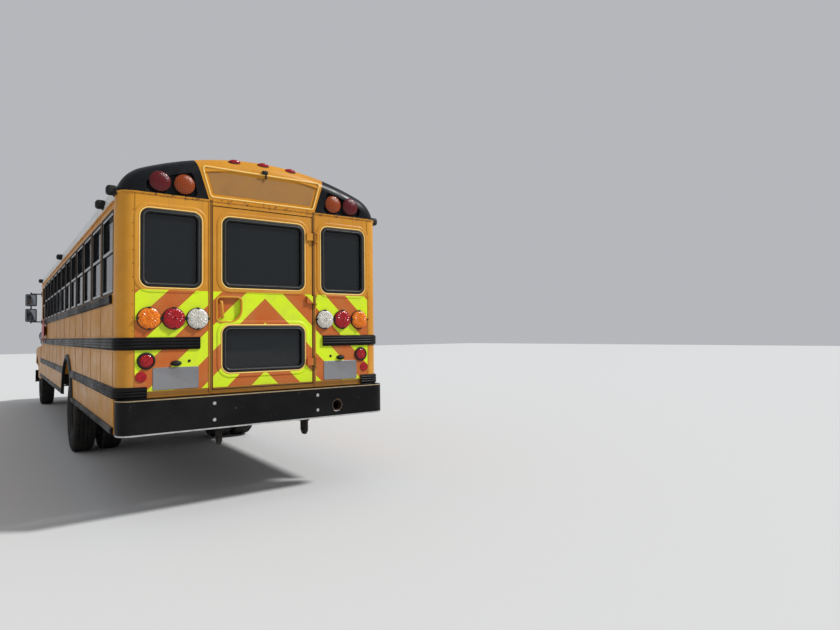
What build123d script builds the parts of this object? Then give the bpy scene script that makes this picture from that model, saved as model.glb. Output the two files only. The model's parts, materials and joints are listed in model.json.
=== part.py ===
"""School bus of the long-bonnet kind. Millimetres, +X the bus's right, +Y its front, +Z up.
The origin is on the ground, midway between the bumpers' outer faces."""

from build123d import *
from math import atan2, cos, pi, radians, sin, sqrt
import os

# Wheels and tyres
tyre_radius = 510
tyre_width = 260
rim_radius = 290
rim_width = 210
rim_wall = 14
dual_spacing = 320
wheel_sides = 24  # flats that stand for a tyre's or rim's round, one of them on the ground
arch_sides = 32  # flats that stand for a wheel arch's round

# Wheelbase and overhangs
wheelbase = 7010
rear_overhang = 3970
front_overhang = 850
overall_length = rear_overhang + wheelbase + front_overhang
rear_end_y = -overall_length / 2
front_end_y = overall_length / 2
rear_axle_y = rear_end_y + rear_overhang
front_axle_y = rear_axle_y + wheelbase

# Body shell
body_width = 2438
side_x = body_width / 2
wall = 50
skirt_wall = 12
body_inner_x = side_x - wall
rear_bumper_depth = 90
rear_face_y = rear_end_y + rear_bumper_depth
rear_wall = 60
corner_depth = 164
corner_radius = 128
cowl_setback = 1315  # from the front axle back to the cowl
cowl_y = front_axle_y - cowl_setback
front_section = 330
side_front_y = cowl_y - front_section
side_rear_y = rear_face_y + corner_depth
skirt_low_z = 713

# Chassis rails, which stand on the axles
rail_low_z = tyre_radius + 180
rail_height = 250
rail_top_z = rail_low_z + rail_height
rail_flange = 76
rail_sheet = 10
bearer_height = 60
floor_low_z = rail_top_z + bearer_height
floor_thickness = 50
floor_z = floor_low_z + floor_thickness

# Roof
roof_z = 3120
roof_rise = 480
spring_z = roof_z - roof_rise
drip_z = spring_z - 20
cap_low_z = spring_z + 50
shoulder_radius = 300
roof_wall = 50
cap_face_wall = 90

# Where the wheels stand across the bus
front_wheel_x = side_x - 189
kingpin_offset = 150
kingpin_x = front_wheel_x - kingpin_offset
dual_outer_x = side_x - 164
dual_inner_x = dual_outer_x - dual_spacing
inner_tyre_x = dual_inner_x - tyre_width / 2
rail_half = inner_tyre_x - 175

# Entry door, in the right side just behind the cowl
entry_post = 61
entry_width = 740
entry_front_y = side_front_y - entry_post
entry_rear_y = entry_front_y - entry_width
entry_middle_y = (entry_front_y + entry_rear_y) / 2
entry_low_z = 400
entry_high_z = drip_z - 100
leaf_thickness = 40
leaf_gap = 6
meeting_gap = 16  # between the two leaves, enough for their inner corners to swing past
entry_panes = ((560, 1420), (1500, entry_high_z - 80))  # low z, high z
step_count = 3
step_depth = 155
step_sheet = 20
stepwell_inner_x = body_inner_x - step_count * step_depth

# Side windows, as many as fit between the rear corner and the entry door
window_pitch = 690
window_width = 625
window_low_z = 1876
window_high_z = drip_z - 66
sash_z = (window_low_z + window_high_z) / 2 + 16
first_window_y = side_rear_y + 35
window_post = 30
window_run = entry_rear_y - window_post - window_width - first_window_y
window_count = int(window_run / window_pitch + 0.001) + 1
frame_depth = 38
frame_bar = 26
frame_inset = 6
pane_thickness = 6
driver_window_width = 640
driver_window_y = side_front_y - 86 - driver_window_width
driver_window_drop = 120

# Rear door and rear windows
door_half = 470
door_jamb_half = 505
door_low_z = floor_low_z + 46
door_high_z = spring_z
door_thickness = 45
door_gap = 8
door_rim_proud = 5
door_window_half = 378
door_windows = ((1194, 1582), (1943, door_high_z - 95))  # low z, high z
rear_window_inner_x = 578
rear_window_outer_x = side_x - 179
rear_window_low_z = 1927
rear_window_high_z = door_high_z - 88
window_corner = 60
handle_x = (-434, -222)
handle_z = (1630, 1845)
handle_corner = 35
handle_wide_corner = 110
handle_pocket_depth = 30

# Hinges: a pin between two ears, and the eye that turns on it
pin_radius = 6
pin_clearance = 0.3
eye_half = 9
hinge_height = 70
hinge_ear = 12
rear_hinge_x = (door_half + door_jamb_half) / 2
rear_hinge_y = rear_face_y - door_rim_proud - 16
rear_hinge_zs = (door_low_z + 204, (door_low_z + door_high_z) / 2, door_high_z - 190)
entry_hinge_x = side_x + 14
entry_hinge_zs = (900, entry_high_z - 220)

# Wheel arches
rear_arch_radius = tyre_radius + 120
rear_arch_z = tyre_radius + 100
wheelhouse_wall = 25
wheelhouse_inner_x = inner_tyre_x - 35
front_arch_radius = tyre_radius + 90

# Bumpers and tailpipe
rear_bumper_low_z = rail_low_z + 25
rear_bumper_high_z = floor_low_z
bumper_sheet = 12
bumper_flange = 70
bumper_corner = 100
rear_bumper_return = 150
front_bumper_low_z = 470
front_bumper_high_z = 750
front_bumper_return = 200
front_bumper_corner = 160
tailpipe_x = 688
tailpipe_z = rail_low_z + 136
tailpipe_radius = 55
pipe_hole_radius = 62


def block(x, y, z):
    """A box between three pairs of lowest and highest values."""
    size = (x[1] - x[0], y[1] - y[0], z[1] - z[0])
    return Solid.make_box(*size, plane=Plane((x[0], y[0], z[0])))


def prism_x(points, x0, x1):
    """An outline of (y, z) points, drawn out from x0 to x1."""
    face = Face(Wire.make_polygon([(x0, y, z) for y, z in points]))
    return extrude(face, amount=x1 - x0, dir=(1, 0, 0)).solid()


def prism_y(points, y0, y1):
    """An outline of (x, z) points, drawn out from y0 to y1."""
    face = Face(Wire.make_polygon([(x, y0, z) for x, z in points]))
    return extrude(face, amount=y1 - y0, dir=(0, 1, 0)).solid()


def prism_z(points, z0, z1):
    """An outline of (x, y) points, drawn out from z0 to z1."""
    face = Face(Wire.make_polygon([(x, y, z0) for x, y in points]))
    return extrude(face, amount=z1 - z0, dir=(0, 0, 1)).solid()


def rod(start, direction, radius, length):
    """A round bar from a point along a direction."""
    return Solid.make_cylinder(radius, length, plane=Plane(start, z_dir=direction))


def flat_rod(start, direction, radius, length, sides):
    """A bar with flat sides, which touch a circle of this radius."""
    outline = RegularPolygon(radius, sides, major_radius=False, rotation=180 / sides)
    return extrude(Plane(start, z_dir=direction) * outline, length).solid()


def turned(profile, sides):
    """A closed outline of (x, radius) points turned about the x axis in flat steps.
    Each radius is to the middle of a flat, and one flat faces down."""
    reach = 1 / cos(pi / sides)
    turns = [pi / sides * (2 * k + 1) - pi / 2 for k in range(sides)]

    def ring(point):
        x, radius = point
        return [(x, radius * reach * cos(turn), radius * reach * sin(turn)) for turn in turns]

    faces = []
    for start, end in zip(profile, profile[1:] + profile[:1]):
        first, second = ring(start), ring(end)
        if start[1] == end[1] == 0:
            continue
        if start[0] == end[0]:
            outer, inner = (first, second) if start[1] > end[1] else (second, first)
            hole = [Wire.make_polygon(inner)] if min(start[1], end[1]) > 0 else []
            faces.append(Face(Wire.make_polygon(outer), hole))
            continue
        for k in range(sides):
            after = (k + 1) % sides
            faces.append(Face(Wire.make_polygon([first[k], second[k], second[after], first[after]])))
    return Solid(Shell(faces))


def solid_to_axis(profile):
    """A profile of (x, radius) points, closed along the axis between its two ends."""
    return [(profile[0][0], 0), *profile, (profile[-1][0], 0)]


def rounded_y(x, z, radius, y0, y1):
    """A rectangle in x and z with round corners, drawn out from y0 to y1."""
    middle = ((x[0] + x[1]) / 2, y0, (z[0] + z[1]) / 2)
    plane = Plane(middle, x_dir=(1, 0, 0), z_dir=(0, 1, 0))
    return extrude(plane * RectangleRounded(x[1] - x[0], z[1] - z[0], radius), y1 - y0).solid()


def mirrored(shape):
    """The same shape on the other side of the bus."""
    return mirror(shape, about=Plane.YZ)


def both_sides(shapes):
    """Each shape and its twin across the bus."""
    return list(shapes) + [mirrored(shape) for shape in shapes]


def fused(shapes):
    """One solid from several that meet."""
    whole = shapes[0].fuse(*shapes[1:]).clean()
    return whole.solid() if len(whole.solids()) == 1 else whole


def roof_prism(inset, low_z, y0, y1):
    """The body's cross-section with its two-radius roof, drawn out from y0 to y1."""
    half = side_x - inset
    shoulder = shoulder_radius - inset
    shoulder_x = side_x - shoulder_radius
    crown = crown_radius()
    crown_z = roof_z - crown
    reach = crown - inset
    turn = atan2(spring_z - crown_z, shoulder_x)
    join = (reach * cos(turn), y0, crown_z + reach * sin(turn))
    half_turn = turn / 2
    bend = (shoulder_x + shoulder * cos(half_turn), y0, spring_z + shoulder * sin(half_turn))

    def flip(point):
        return (-point[0], point[1], point[2])

    foot, spring = (half, y0, low_z), (half, y0, spring_z)
    edges = [
        Edge.make_line(foot, spring),
        Edge.make_three_point_arc(spring, bend, join),
        Edge.make_three_point_arc(join, (0, y0, roof_z - inset), flip(join)),
        Edge.make_three_point_arc(flip(join), flip(bend), flip(spring)),
        Edge.make_line(flip(spring), flip(foot)),
        Edge.make_line(flip(foot), foot),
    ]
    return extrude(Face(Wire(edges)), amount=y1 - y0, dir=(0, 1, 0)).solid()


def crown_radius():
    """The radius of the roof's wide middle arc, which runs into the two shoulders."""
    shoulder_x = side_x - shoulder_radius
    return (shoulder_x**2 + roof_rise**2 - shoulder_radius**2) / (2 * (roof_rise - shoulder_radius))


def wheel_arch(y, z, radius, x0, x1):
    """A near-round cutter across the bus, from x0 to x1."""
    return flat_rod((x0, y, z), (1, 0, 0), radius, x1 - x0, arch_sides)


def window_starts():
    """The y of each passenger window's rear edge."""
    return [first_window_y + i * window_pitch for i in range(window_count)]


def side_panel():
    """The right side's outer wall and skirt, with windows, rear wheel arch and no door yet."""
    upper = block((body_inner_x, side_x), (side_rear_y, side_front_y), (floor_low_z, drip_z))
    skirt = block((side_x - skirt_wall, side_x), (side_rear_y, cowl_y), (skirt_low_z, floor_low_z))
    across = (body_inner_x - 1, side_x + 1)
    cuts = [
        block(across, (y, y + window_width), (window_low_z, window_high_z))
        for y in window_starts()
    ]
    cuts.append(wheel_arch(rear_axle_y, rear_arch_z, rear_arch_radius, *across))
    return fused([upper, skirt]).cut(*cuts)


def left_side():
    window = block(
        (-side_x - 1, 1 - body_inner_x),
        (driver_window_y, driver_window_y + driver_window_width),
        (window_low_z - driver_window_drop, window_high_z),
    )
    return mirrored(side_panel()).cut(window).solid()


def right_side():
    """The entry door's side, with the fixed halves of the door's hinges."""
    doorway = block(
        (body_inner_x - 1, side_x + 1), (entry_rear_y, entry_front_y), (skirt_low_z - 1, entry_high_z)
    )
    pins = [entry_hinge_pins(front, z) for front in (True, False) for z in entry_hinge_zs]
    return fused([side_panel().cut(doorway).solid(), *pins])


def window_frame(y, width, low_z, high_z, bar_z):
    """An aluminium sash frame in the right side: outer bars with one bar across."""
    outer_x = side_x - frame_inset
    frame = block((outer_x - frame_depth, outer_x), (y, y + width), (low_z, high_z))
    panes = ((low_z + frame_bar, bar_z - frame_bar / 2), (bar_z + frame_bar / 2, high_z - frame_bar))
    cuts = [
        block((outer_x - frame_depth - 1, outer_x + 1), (y + frame_bar, y + width - frame_bar), z)
        for z in panes
    ]
    return [frame.cut(*cuts).solid()]


def window_panes(y, width, low_z, high_z, bar_z):
    """The two panes of one side window, the upper one on the inner track."""
    outer_x = side_x - frame_inset
    ends = (y + frame_bar, y + width - frame_bar)
    lower_x, upper_x = outer_x - 18, outer_x - 30
    return [
        block((lower_x, lower_x + pane_thickness), ends, (low_z + frame_bar, bar_z - frame_bar / 2)),
        block((upper_x, upper_x + pane_thickness), ends, (bar_z + frame_bar / 2, high_z - frame_bar)),
    ]


def side_windows(maker):
    """What the maker gives for every passenger window on both sides, and for the driver's window."""
    made = []
    for y in window_starts():
        made += both_sides(maker(y, window_width, window_low_z, window_high_z, sash_z))
    low_z = window_low_z - driver_window_drop
    driver = maker(driver_window_y, driver_window_width, low_z, window_high_z, sash_z - 60)
    return made + [mirrored(piece) for piece in driver]


# Roof hatches
hatch_ys = (rear_face_y + 2125, side_front_y - 2720)
hatch_half = 290
hatch_curb_wall = 20
hatch_curb_height = 25
hatch_lid_thickness = 30
hatch_pin_offset = 17
hatch_pin_half = 120
hatch_eye_half = 90


def roof():
    outer = roof_prism(0, drip_z, side_rear_y, side_front_y)
    inner = roof_prism(roof_wall, drip_z - 1, side_rear_y - 1, side_front_y + 1)
    across = (-hatch_half, hatch_half)
    holes = [
        block(across, (y - hatch_half, y + hatch_half), (roof_z - 200, roof_z + 1))
        for y in hatch_ys
    ]
    curbs = [hatch_curb(y) for y in hatch_ys]
    return fused([outer.cut(inner).cut(*holes), *curbs])


def hatch_curb(y):
    """The raised rim of a hatch, with the hinge pin on two lugs at its front."""
    half = hatch_half + hatch_curb_wall
    top = roof_z + hatch_curb_height
    ring = block((-half, half), (y - half, y + half), (roof_z - roof_wall, top))
    across = (-hatch_half, hatch_half)
    hole = block(across, (y - hatch_half, y + hatch_half), (roof_z - 201, top + 1))
    pin_y = y + half + hatch_pin_offset
    pin = rod((-hatch_pin_half, pin_y, top), (1, 0, 0), pin_radius, 2 * hatch_pin_half)
    lug_x = (-hatch_pin_half, 20 - hatch_pin_half)
    lug = prism_x(
        [(y + half - 1, roof_z - 20), (pin_y + 8, roof_z - 20), (pin_y + 8, top + 8),
         (pin_y - 8, top + 8), (pin_y - 8, top), (y + half - 1, top)],
        *lug_x,
    )
    return fused([ring.cut(hole), pin, lug, mirrored(lug)])


def hatch_lid(y):
    """A lid with sloping edges, on an eye that turns on the curb's pin."""
    half = hatch_half + hatch_curb_wall + 4
    hinge_z = roof_z + hatch_curb_height
    low = hinge_z + pin_clearance
    edge = low + 12
    top = low + hatch_lid_thickness
    lid = prism_y(
        [(-half, low), (half, low), (half, edge), (half - 60, top), (60 - half, top), (-half, edge)],
        y - half, y + half,
    )
    pin_y = y + hatch_half + hatch_curb_wall + hatch_pin_offset
    eye_x = (-hatch_eye_half, hatch_eye_half)
    eye = block(eye_x, (pin_y - eye_half, pin_y + eye_half), (hinge_z - eye_half, hinge_z + eye_half))
    tongue = block(eye_x, (y + half - 20, pin_y), (low, edge))
    start = (-hatch_eye_half - 1, pin_y, hinge_z)
    bore = rod(start, (1, 0, 0), pin_radius + pin_clearance, 2 * hatch_eye_half + 2)
    return fused([lid, tongue, eye]).cut(bore).solid()


def rear_wall_shell():
    """The rear end: face, two round corners and their returns, with door and window openings."""
    outer = block((-side_x, side_x), (rear_face_y, side_rear_y), (floor_low_z, cap_low_z))
    outer = fillet(outer.edges().filter_by(Axis.Z).group_by(Axis.Y)[0], corner_radius)
    inner = block(
        (-body_inner_x, body_inner_x), (rear_face_y + rear_wall, side_rear_y + 1),
        (floor_low_z - 1, cap_low_z + 1),
    )
    inner = fillet(inner.edges().filter_by(Axis.Z).group_by(Axis.Y)[0], corner_radius - wall)
    half, low, high = door_half + door_gap, door_low_z - door_gap, door_high_z + door_gap
    rim = door_jamb_half - half
    jamb = block(
        (-door_jamb_half, door_jamb_half), (rear_face_y - door_rim_proud, rear_face_y + 10),
        (low - rim, high + rim),
    )
    doorway = block((-half, half), (rear_face_y - 20, rear_face_y + rear_wall + 1), (low, high))
    window = rear_window(rear_face_y - 1, rear_face_y + rear_wall + 1)
    shell = outer.cut(inner).fuse(jamb).cut(doorway, window, mirrored(window))
    return fused([shell.solid(), *[rear_hinge_pins(z) for z in rear_hinge_zs]])


def rear_window(y0, y1):
    """The outline of the right rear window, drawn out from y0 to y1."""
    return rounded_y(
        (rear_window_inner_x, rear_window_outer_x), (rear_window_low_z, rear_window_high_z),
        window_corner, y0, y1,
    )


def rear_hinge_pins(z):
    """The jamb's half of a rear door hinge: a pin between two ears."""
    low = z - hinge_height / 2
    pin = rod((rear_hinge_x, rear_hinge_y, low), (0, 0, 1), pin_radius, hinge_height)
    ears = [
        block((rear_hinge_x - 8, door_jamb_half + 20), (rear_hinge_y - 8, rear_face_y), (at, at + hinge_ear))
        for at in (low - hinge_ear, low + hinge_height)
    ]
    return fused([pin, *ears])


def rear_hinge_eye(z):
    """The door's half of a hinge: an eye on a strap that steps down to the door."""
    low = z - hinge_height / 2 + pin_clearance
    high = z + hinge_height / 2 - pin_clearance
    eye_y = (rear_hinge_y - eye_half, rear_hinge_y + eye_half)
    eye = block((rear_hinge_x - eye_half, rear_hinge_x + eye_half), eye_y, (low, high))
    strap = prism_z(
        [(door_half - 60, rear_hinge_y - 4), (rear_hinge_x, rear_hinge_y - 4), (rear_hinge_x, rear_hinge_y + 4),
         (door_half - 4, rear_hinge_y + 4), (door_half - 4, rear_face_y), (door_half - 60, rear_face_y)],
        low, high,
    )
    start = (rear_hinge_x, rear_hinge_y, low - 1)
    bore = rod(start, (0, 0, 1), pin_radius + pin_clearance, hinge_height + 2)
    return fused([eye, strap]).cut(bore)


def door_window(z, y0, y1):
    """The outline of one of the rear door's windows, drawn out from y0 to y1."""
    return rounded_y((-door_window_half, door_window_half), z, window_corner, y0, y1)


def rear_door():
    """The emergency door, hinged on its right edge, with two windows and a handle pocket."""
    back_y = rear_face_y + door_thickness
    door = block((-door_half, door_half), (rear_face_y, back_y), (door_low_z, door_high_z))
    holes = [door_window(z, rear_face_y - 1, back_y + 1) for z in door_windows]
    door = door.cut(*holes, handle_pocket())
    return fused([door.solid(), *[rear_hinge_eye(z) for z in rear_hinge_zs]])


def handle_pocket():
    """The D-shaped recess for the door's handle, with one wide corner at its lower right."""
    pocket = block(handle_x, (rear_face_y - 1, rear_face_y + handle_pocket_depth), handle_z)
    wide_end = (handle_x[1], rear_face_y, handle_z[0])
    corners = pocket.edges().filter_by(Axis.Y).sort_by_distance(wide_end)
    pocket = fillet(corners[1:], handle_corner)
    corners = pocket.edges().filter_by(Axis.Y).sort_by_distance(wide_end)
    return fillet(corners[0], handle_wide_corner)


def rear_door_handle():
    """A pull bar across the pocket, standing just proud of the door."""
    x = (handle_x[0] + 33, handle_x[0] + 57)
    low, high = handle_z[0] + 30, handle_z[1] - 30
    floor_y = rear_face_y + handle_pocket_depth
    return prism_x(
        [(floor_y, low), (rear_face_y - 14, low), (rear_face_y - 14, high), (floor_y, high),
         (floor_y, high - 24), (rear_face_y, high - 24), (rear_face_y, low + 24), (floor_y, low + 24)],
        *x,
    )


def rear_door_glass():
    return [door_window(z, rear_face_y + 20, rear_face_y + 26) for z in door_windows]


def end_glass():
    """The two rear windows' panes and the two halves of the windscreen."""
    return both_sides([rear_window(rear_face_y + 20, rear_face_y + 26)]) + windshield()


# End caps: lamp recesses and the sunk sign panel between them
sign_top_half = side_x - 659
sign_bottom_half = sign_top_half - 75
sign_low_z = cap_low_z + 32
sign_high_z = roof_z - 135
sign_depth = 12
lamp_bay_inner_x = side_x - 629
lamp_bay_outer_x = side_x - 209
lamp_bay_low_z = cap_low_z + 10
lamp_bay_high_z = roof_z - 195
lamp_bay_depth = 30
cap_chamfer = corner_radius * (2 - sqrt(2))
header_lip_half = side_x - corner_radius
header_lip_drop = 10
header_lip_proud = 6


def end_cap(face_y, inward):
    """A moulded roof end: inward is +1 at the rear and -1 at the front."""
    back_y = face_y + inward * corner_depth
    y0, y1 = sorted((face_y, back_y))
    low_z = spring_z - 250
    outer = roof_prism(0, low_z, y0, y1)
    face = outer.faces().sort_by(Axis.Y)[0 if inward > 0 else -1]
    rim = [edge for edge in face.edges() if edge.center().Z > low_z + 10]
    outer = chamfer(rim, cap_chamfer)
    inner = roof_prism(roof_wall, low_z - 1, *sorted((face_y + inward * cap_face_wall, back_y + inward)))
    below = block((-side_x - 1, side_x + 1), (y0 - 1, y1 + 1), (low_z - 2, cap_low_z))
    sign = prism_y(
        [(-sign_bottom_half, sign_low_z), (sign_bottom_half, sign_low_z),
         (sign_top_half, sign_high_z), (-sign_top_half, sign_high_z)],
        *sorted((face_y - inward, face_y + inward * sign_depth)),
    )
    bay = prism_y(
        [(lamp_bay_inner_x, lamp_bay_low_z), (lamp_bay_outer_x, lamp_bay_low_z),
         (lamp_bay_outer_x, lamp_bay_low_z + 130), (lamp_bay_outer_x - 90, lamp_bay_high_z),
         (lamp_bay_inner_x + 50, lamp_bay_high_z)],
        *sorted((face_y - inward, face_y + inward * lamp_bay_depth)),
    )
    shell = outer.cut(inner, below, sign, bay, mirrored(bay)).solid()
    return fused([shell, header_lip()]) if inward > 0 else shell


def header_lip():
    """The drip edge along the rear cap's foot, which hangs just over the rear wall."""
    low, high = cap_low_z - header_lip_drop, cap_low_z + header_lip_drop
    back_y, face_y = rear_face_y - header_lip_proud, rear_face_y
    return prism_x(
        [(back_y, low), (face_y, low), (face_y, cap_low_z), (face_y + 10, cap_low_z),
         (face_y + 10, high), (back_y, high)],
        -header_lip_half, header_lip_half,
    )


# Round lamps: the three in a row, and the two below them
lamp_z = 1655
lamp_radius = 90
lamp_depth = 38
lamp_first_x = door_jamb_half + 96
lamp_spacing = 192
stop_lamp_z = 1307
stop_lamp_radius = 70
reflector_z = 1178
reflector_radius = 38
warning_z = cap_low_z + 110
warning_radius = 88
warning_depth = 60
warning_outer_x = side_x - 319
warning_inner_x = side_x - 514
marker_spacing = 265
marker_half = 55
marker_height = 26


def round_lamp(x, y, z, radius, depth, facing):
    """A lamp on a face at y. facing is -1 to the rear and +1 to the front."""
    return flat_rod((x, y, z), (0, facing, 0), radius, depth, 16)


def rear_lamp(x, z, radius):
    return round_lamp(x, rear_face_y, z, radius, lamp_depth, -1)


def warning_lamps(x):
    """The flashing lamps in both end caps' recesses at one distance from the middle."""
    rear_y = rear_face_y + lamp_bay_depth
    front_y = front_cap_y - lamp_bay_depth
    return [
        round_lamp(x, rear_y, warning_z, warning_radius, warning_depth, -1),
        round_lamp(x, front_y, warning_z, warning_radius, warning_depth, 1),
    ]


def red_lamps():
    last_x = lamp_first_x + 2 * lamp_spacing
    right = [
        rear_lamp(lamp_first_x + lamp_spacing, lamp_z, lamp_radius),
        rear_lamp(last_x + 19, stop_lamp_z, stop_lamp_radius),
        rear_lamp(last_x + 56, reflector_z, reflector_radius),
    ]
    return both_sides(right + warning_lamps(warning_outer_x)) + cap_markers(rear_face_y, -1)


def amber_lamps():
    right = [rear_lamp(lamp_first_x + 2 * lamp_spacing, lamp_z, lamp_radius)]
    return both_sides(right + warning_lamps(warning_inner_x)) + cap_markers(front_cap_y, 1)


def clear_lamps():
    return both_sides([rear_lamp(lamp_first_x, lamp_z, lamp_radius)])


def cap_markers(face_y, facing):
    """Three small lamps on the sloping upper edge of an end cap."""
    made = []
    cap = end_cap(face_y, -facing)
    for x in (-marker_spacing, 0, marker_spacing):
        drop = x**2 / (2 * crown_radius())
        centre = (x, face_y - facing * (cap_chamfer / 2 + 5), roof_z - drop - cap_chamfer / 2 - 5)
        plane = Plane(centre, x_dir=(1, 0, 0), z_dir=(0, facing, 1))
        lamp = plane.location * block((-marker_half, marker_half), (-18, 18), (0, marker_height))
        made.append(lamp.cut(cap).solid())
    return made


# Front end of the body
front_lean = 150
windshield_base_z = 1620
front_cap_y = cowl_y - front_lean
front_corner = 200
windshield_low_z = windshield_base_z + 70
windshield_high_z = cap_low_z - 130
windshield_half = side_x - 159
windshield_post = 30


def front_profile(inset):
    """The front end from the side, as (y, z) points, moved in by inset."""
    past = 1 if inset else 0
    back = side_front_y - past
    low, high = floor_low_z - past, cap_low_z + past
    return [
        (back, low), (cowl_y - inset, low), (cowl_y - inset, windshield_base_z),
        (front_cap_y - inset, cap_low_z), (front_cap_y - inset, high), (back, high),
    ]


def front_plan(inset, z0, z1):
    """The front end from above, with round front corners."""
    half = side_x - inset
    plan = block((-half, half), (side_front_y - 2, cowl_y - inset), (z0, z1))
    return fillet(plan.edges().filter_by(Axis.Z).group_by(Axis.Y)[-1], front_corner - inset)


def front_wall():
    """Cowl and windscreen surround."""
    profile = prism_x(front_profile(0), -side_x, side_x)
    hollow_profile = prism_x(front_profile(wall), -side_x, side_x)
    outer = front_plan(0, floor_low_z, cap_low_z).intersect(profile).solid()
    inner = front_plan(wall, floor_low_z - 2, cap_low_z + 2).intersect(hollow_profile).solid()
    return outer.cut(inner).cut(*windshield_holes()).solid()


def windshield_holes():
    """The two windscreen openings, cut straight through from the front."""
    x = (windshield_post, windshield_half)
    z = (windshield_low_z, windshield_high_z)
    return both_sides([rounded_y(x, z, 50, front_cap_y - 200, cowl_y + 10)])


def windshield():
    """Two flat panes that lean back with the front wall."""
    slope = (front_cap_y - cowl_y) / (cap_low_z - windshield_base_z)
    low, high = windshield_low_z, windshield_high_z
    low_y = cowl_y - 20 + slope * (low - windshield_base_z)
    high_y = cowl_y - 20 + slope * (high - windshield_base_z)
    slab = prism_x([(low_y - 8, low), (low_y, low), (high_y, high), (high_y - 8, high)], -side_x, side_x)
    return [slab.intersect(hole).solid() for hole in windshield_holes()]


def leaf_span(front):
    """The y of a door leaf's two edges."""
    if front:
        return entry_middle_y + meeting_gap / 2, entry_front_y - leaf_gap
    return entry_rear_y + leaf_gap, entry_middle_y - meeting_gap / 2


def entry_leaf(front):
    """One leaf of the entry door, hinged at its outer edge."""
    y = leaf_span(front)
    leaf = block((side_x - leaf_thickness, side_x), y, (entry_low_z, entry_high_z - leaf_gap))
    across = (side_x - leaf_thickness - 1, side_x + 1)
    holes = [block(across, (y[0] + 55, y[1] - 55), z) for z in entry_panes]
    eyes = [entry_hinge_eye(front, z) for z in entry_hinge_zs]
    return fused([leaf.cut(*holes).solid(), *eyes])


def entry_leaf_glass(front):
    y = leaf_span(front)
    x = side_x - leaf_thickness / 2
    return [block((x - 3, x + 3), (y[0] + 55, y[1] - 55), z) for z in entry_panes]


def entry_hinge_y(front):
    return entry_front_y - leaf_gap / 2 if front else entry_rear_y + leaf_gap / 2


def entry_hinge_eye(front, z):
    """The leaf's half of a hinge: an eye on a flat strap."""
    y = entry_hinge_y(front)
    inward = -1 if front else 1
    low = z - hinge_height / 2 + pin_clearance
    high = z + hinge_height / 2 - pin_clearance
    eye_x = (entry_hinge_x - eye_half, entry_hinge_x + eye_half)
    eye = block(eye_x, (y - eye_half, y + eye_half), (low, high))
    strap = block((side_x, side_x + 8), sorted((y, y + inward * 50)), (low, high))
    bore = rod((entry_hinge_x, y, low - 1), (0, 0, 1), pin_radius + pin_clearance, hinge_height + 2)
    return fused([eye, strap]).cut(bore)


def entry_hinge_pins(front, z):
    """The jamb's half of an entry door hinge."""
    y = entry_hinge_y(front)
    outward = 1 if front else -1
    low = z - hinge_height / 2
    pin = rod((entry_hinge_x, y, low), (0, 0, 1), pin_radius, hinge_height)
    outline = [
        (side_x, y + outward * 2), (entry_hinge_x - 8, y - outward * 8), (entry_hinge_x + 8, y - outward * 8),
        (entry_hinge_x + 8, y + outward * 30), (side_x, y + outward * 30),
    ]
    ears = [prism_z(outline, at, at + hinge_ear) for at in (low - hinge_ear, low + hinge_height)]
    return fused([pin, *ears])


def stepwell():
    """Three steps up from the entry door, between two side plates."""
    low = entry_low_z + 30
    rise = (floor_z - low) / step_count
    solids = []
    across = (entry_rear_y, entry_front_y)
    for i in range(step_count):
        x1 = body_inner_x - i * step_depth
        x0 = x1 - step_depth
        z = low + i * rise
        solids.append(block((x0 - step_sheet, x1), across, (z - step_sheet, z)))
        solids.append(block((x0 - step_sheet, x0), across, (z - step_sheet, z + rise)))
    plate_x = (stepwell_inner_x - step_sheet, body_inner_x)
    for y in (entry_rear_y - step_sheet, entry_front_y):
        solids.append(block(plate_x, (y, y + step_sheet), (low - step_sheet, floor_low_z)))
    return fused(solids)


first_bearer_y = rear_face_y + 200
bearer_count = int((entry_rear_y - first_bearer_y - 200) / window_pitch) + 1


def body_floor():
    """Floor with cross bearers, rear wheelhouses and the stepwell's opening."""
    back_y = rear_face_y + rear_wall
    plate = block((-body_inner_x, body_inner_x), (back_y, cowl_y - wall), (floor_low_z, floor_z))
    bearers = [
        block((-body_inner_x, body_inner_x), (y - 25, y + 25), (rail_top_z, floor_low_z))
        for y in [first_bearer_y + i * window_pitch for i in range(bearer_count)]
    ]
    through = (floor_low_z - 1, floor_z + 1)
    corner = block((body_inner_x - 200, body_inner_x + 1), (back_y - 1, back_y + 90), through)
    arch = wheel_arch(rear_axle_y, rear_arch_z, rear_arch_radius, wheelhouse_inner_x, body_inner_x + 1)
    well = block(
        (stepwell_inner_x - step_sheet, body_inner_x + 1),
        (entry_rear_y - step_sheet, entry_front_y + step_sheet), (rail_low_z, floor_z + 1),
    )
    front = block((body_inner_x - 160, body_inner_x + 1), (cowl_y - 210, cowl_y), through)
    body = fused([plate, *bearers]).cut(*both_sides([corner, arch, front]), well)
    return fused([body, *both_sides([wheelhouse()])])


def wheelhouse():
    """The box over a rear wheel, above the floor."""
    inner_x = wheelhouse_inner_x - wheelhouse_wall
    outer_radius = rear_arch_radius + wheelhouse_wall
    shell = wheel_arch(rear_axle_y, rear_arch_z, outer_radius, inner_x, body_inner_x)
    hollow = wheel_arch(rear_axle_y, rear_arch_z, rear_arch_radius, wheelhouse_inner_x, body_inner_x + 1)
    along = (rear_axle_y - outer_radius - 1, rear_axle_y + outer_radius + 1)
    below = block((inner_x - 1, body_inner_x + 1), along, (rear_arch_z - outer_radius - 1, floor_low_z))
    return shell.cut(hollow, below).solid()


# Rub rails along the sides and round the rear corners
rail_proud = 24
rub_rails = (  # low z, height, y of the rear end, how far in it runs across the rear face
    (1780, 80, side_rear_y + 80, None),
    (1395, 105, rear_face_y, 580),
    (floor_low_z, 98, rear_face_y, side_x - 219),
    (skirt_low_z, 58, side_rear_y, None),
)


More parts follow.
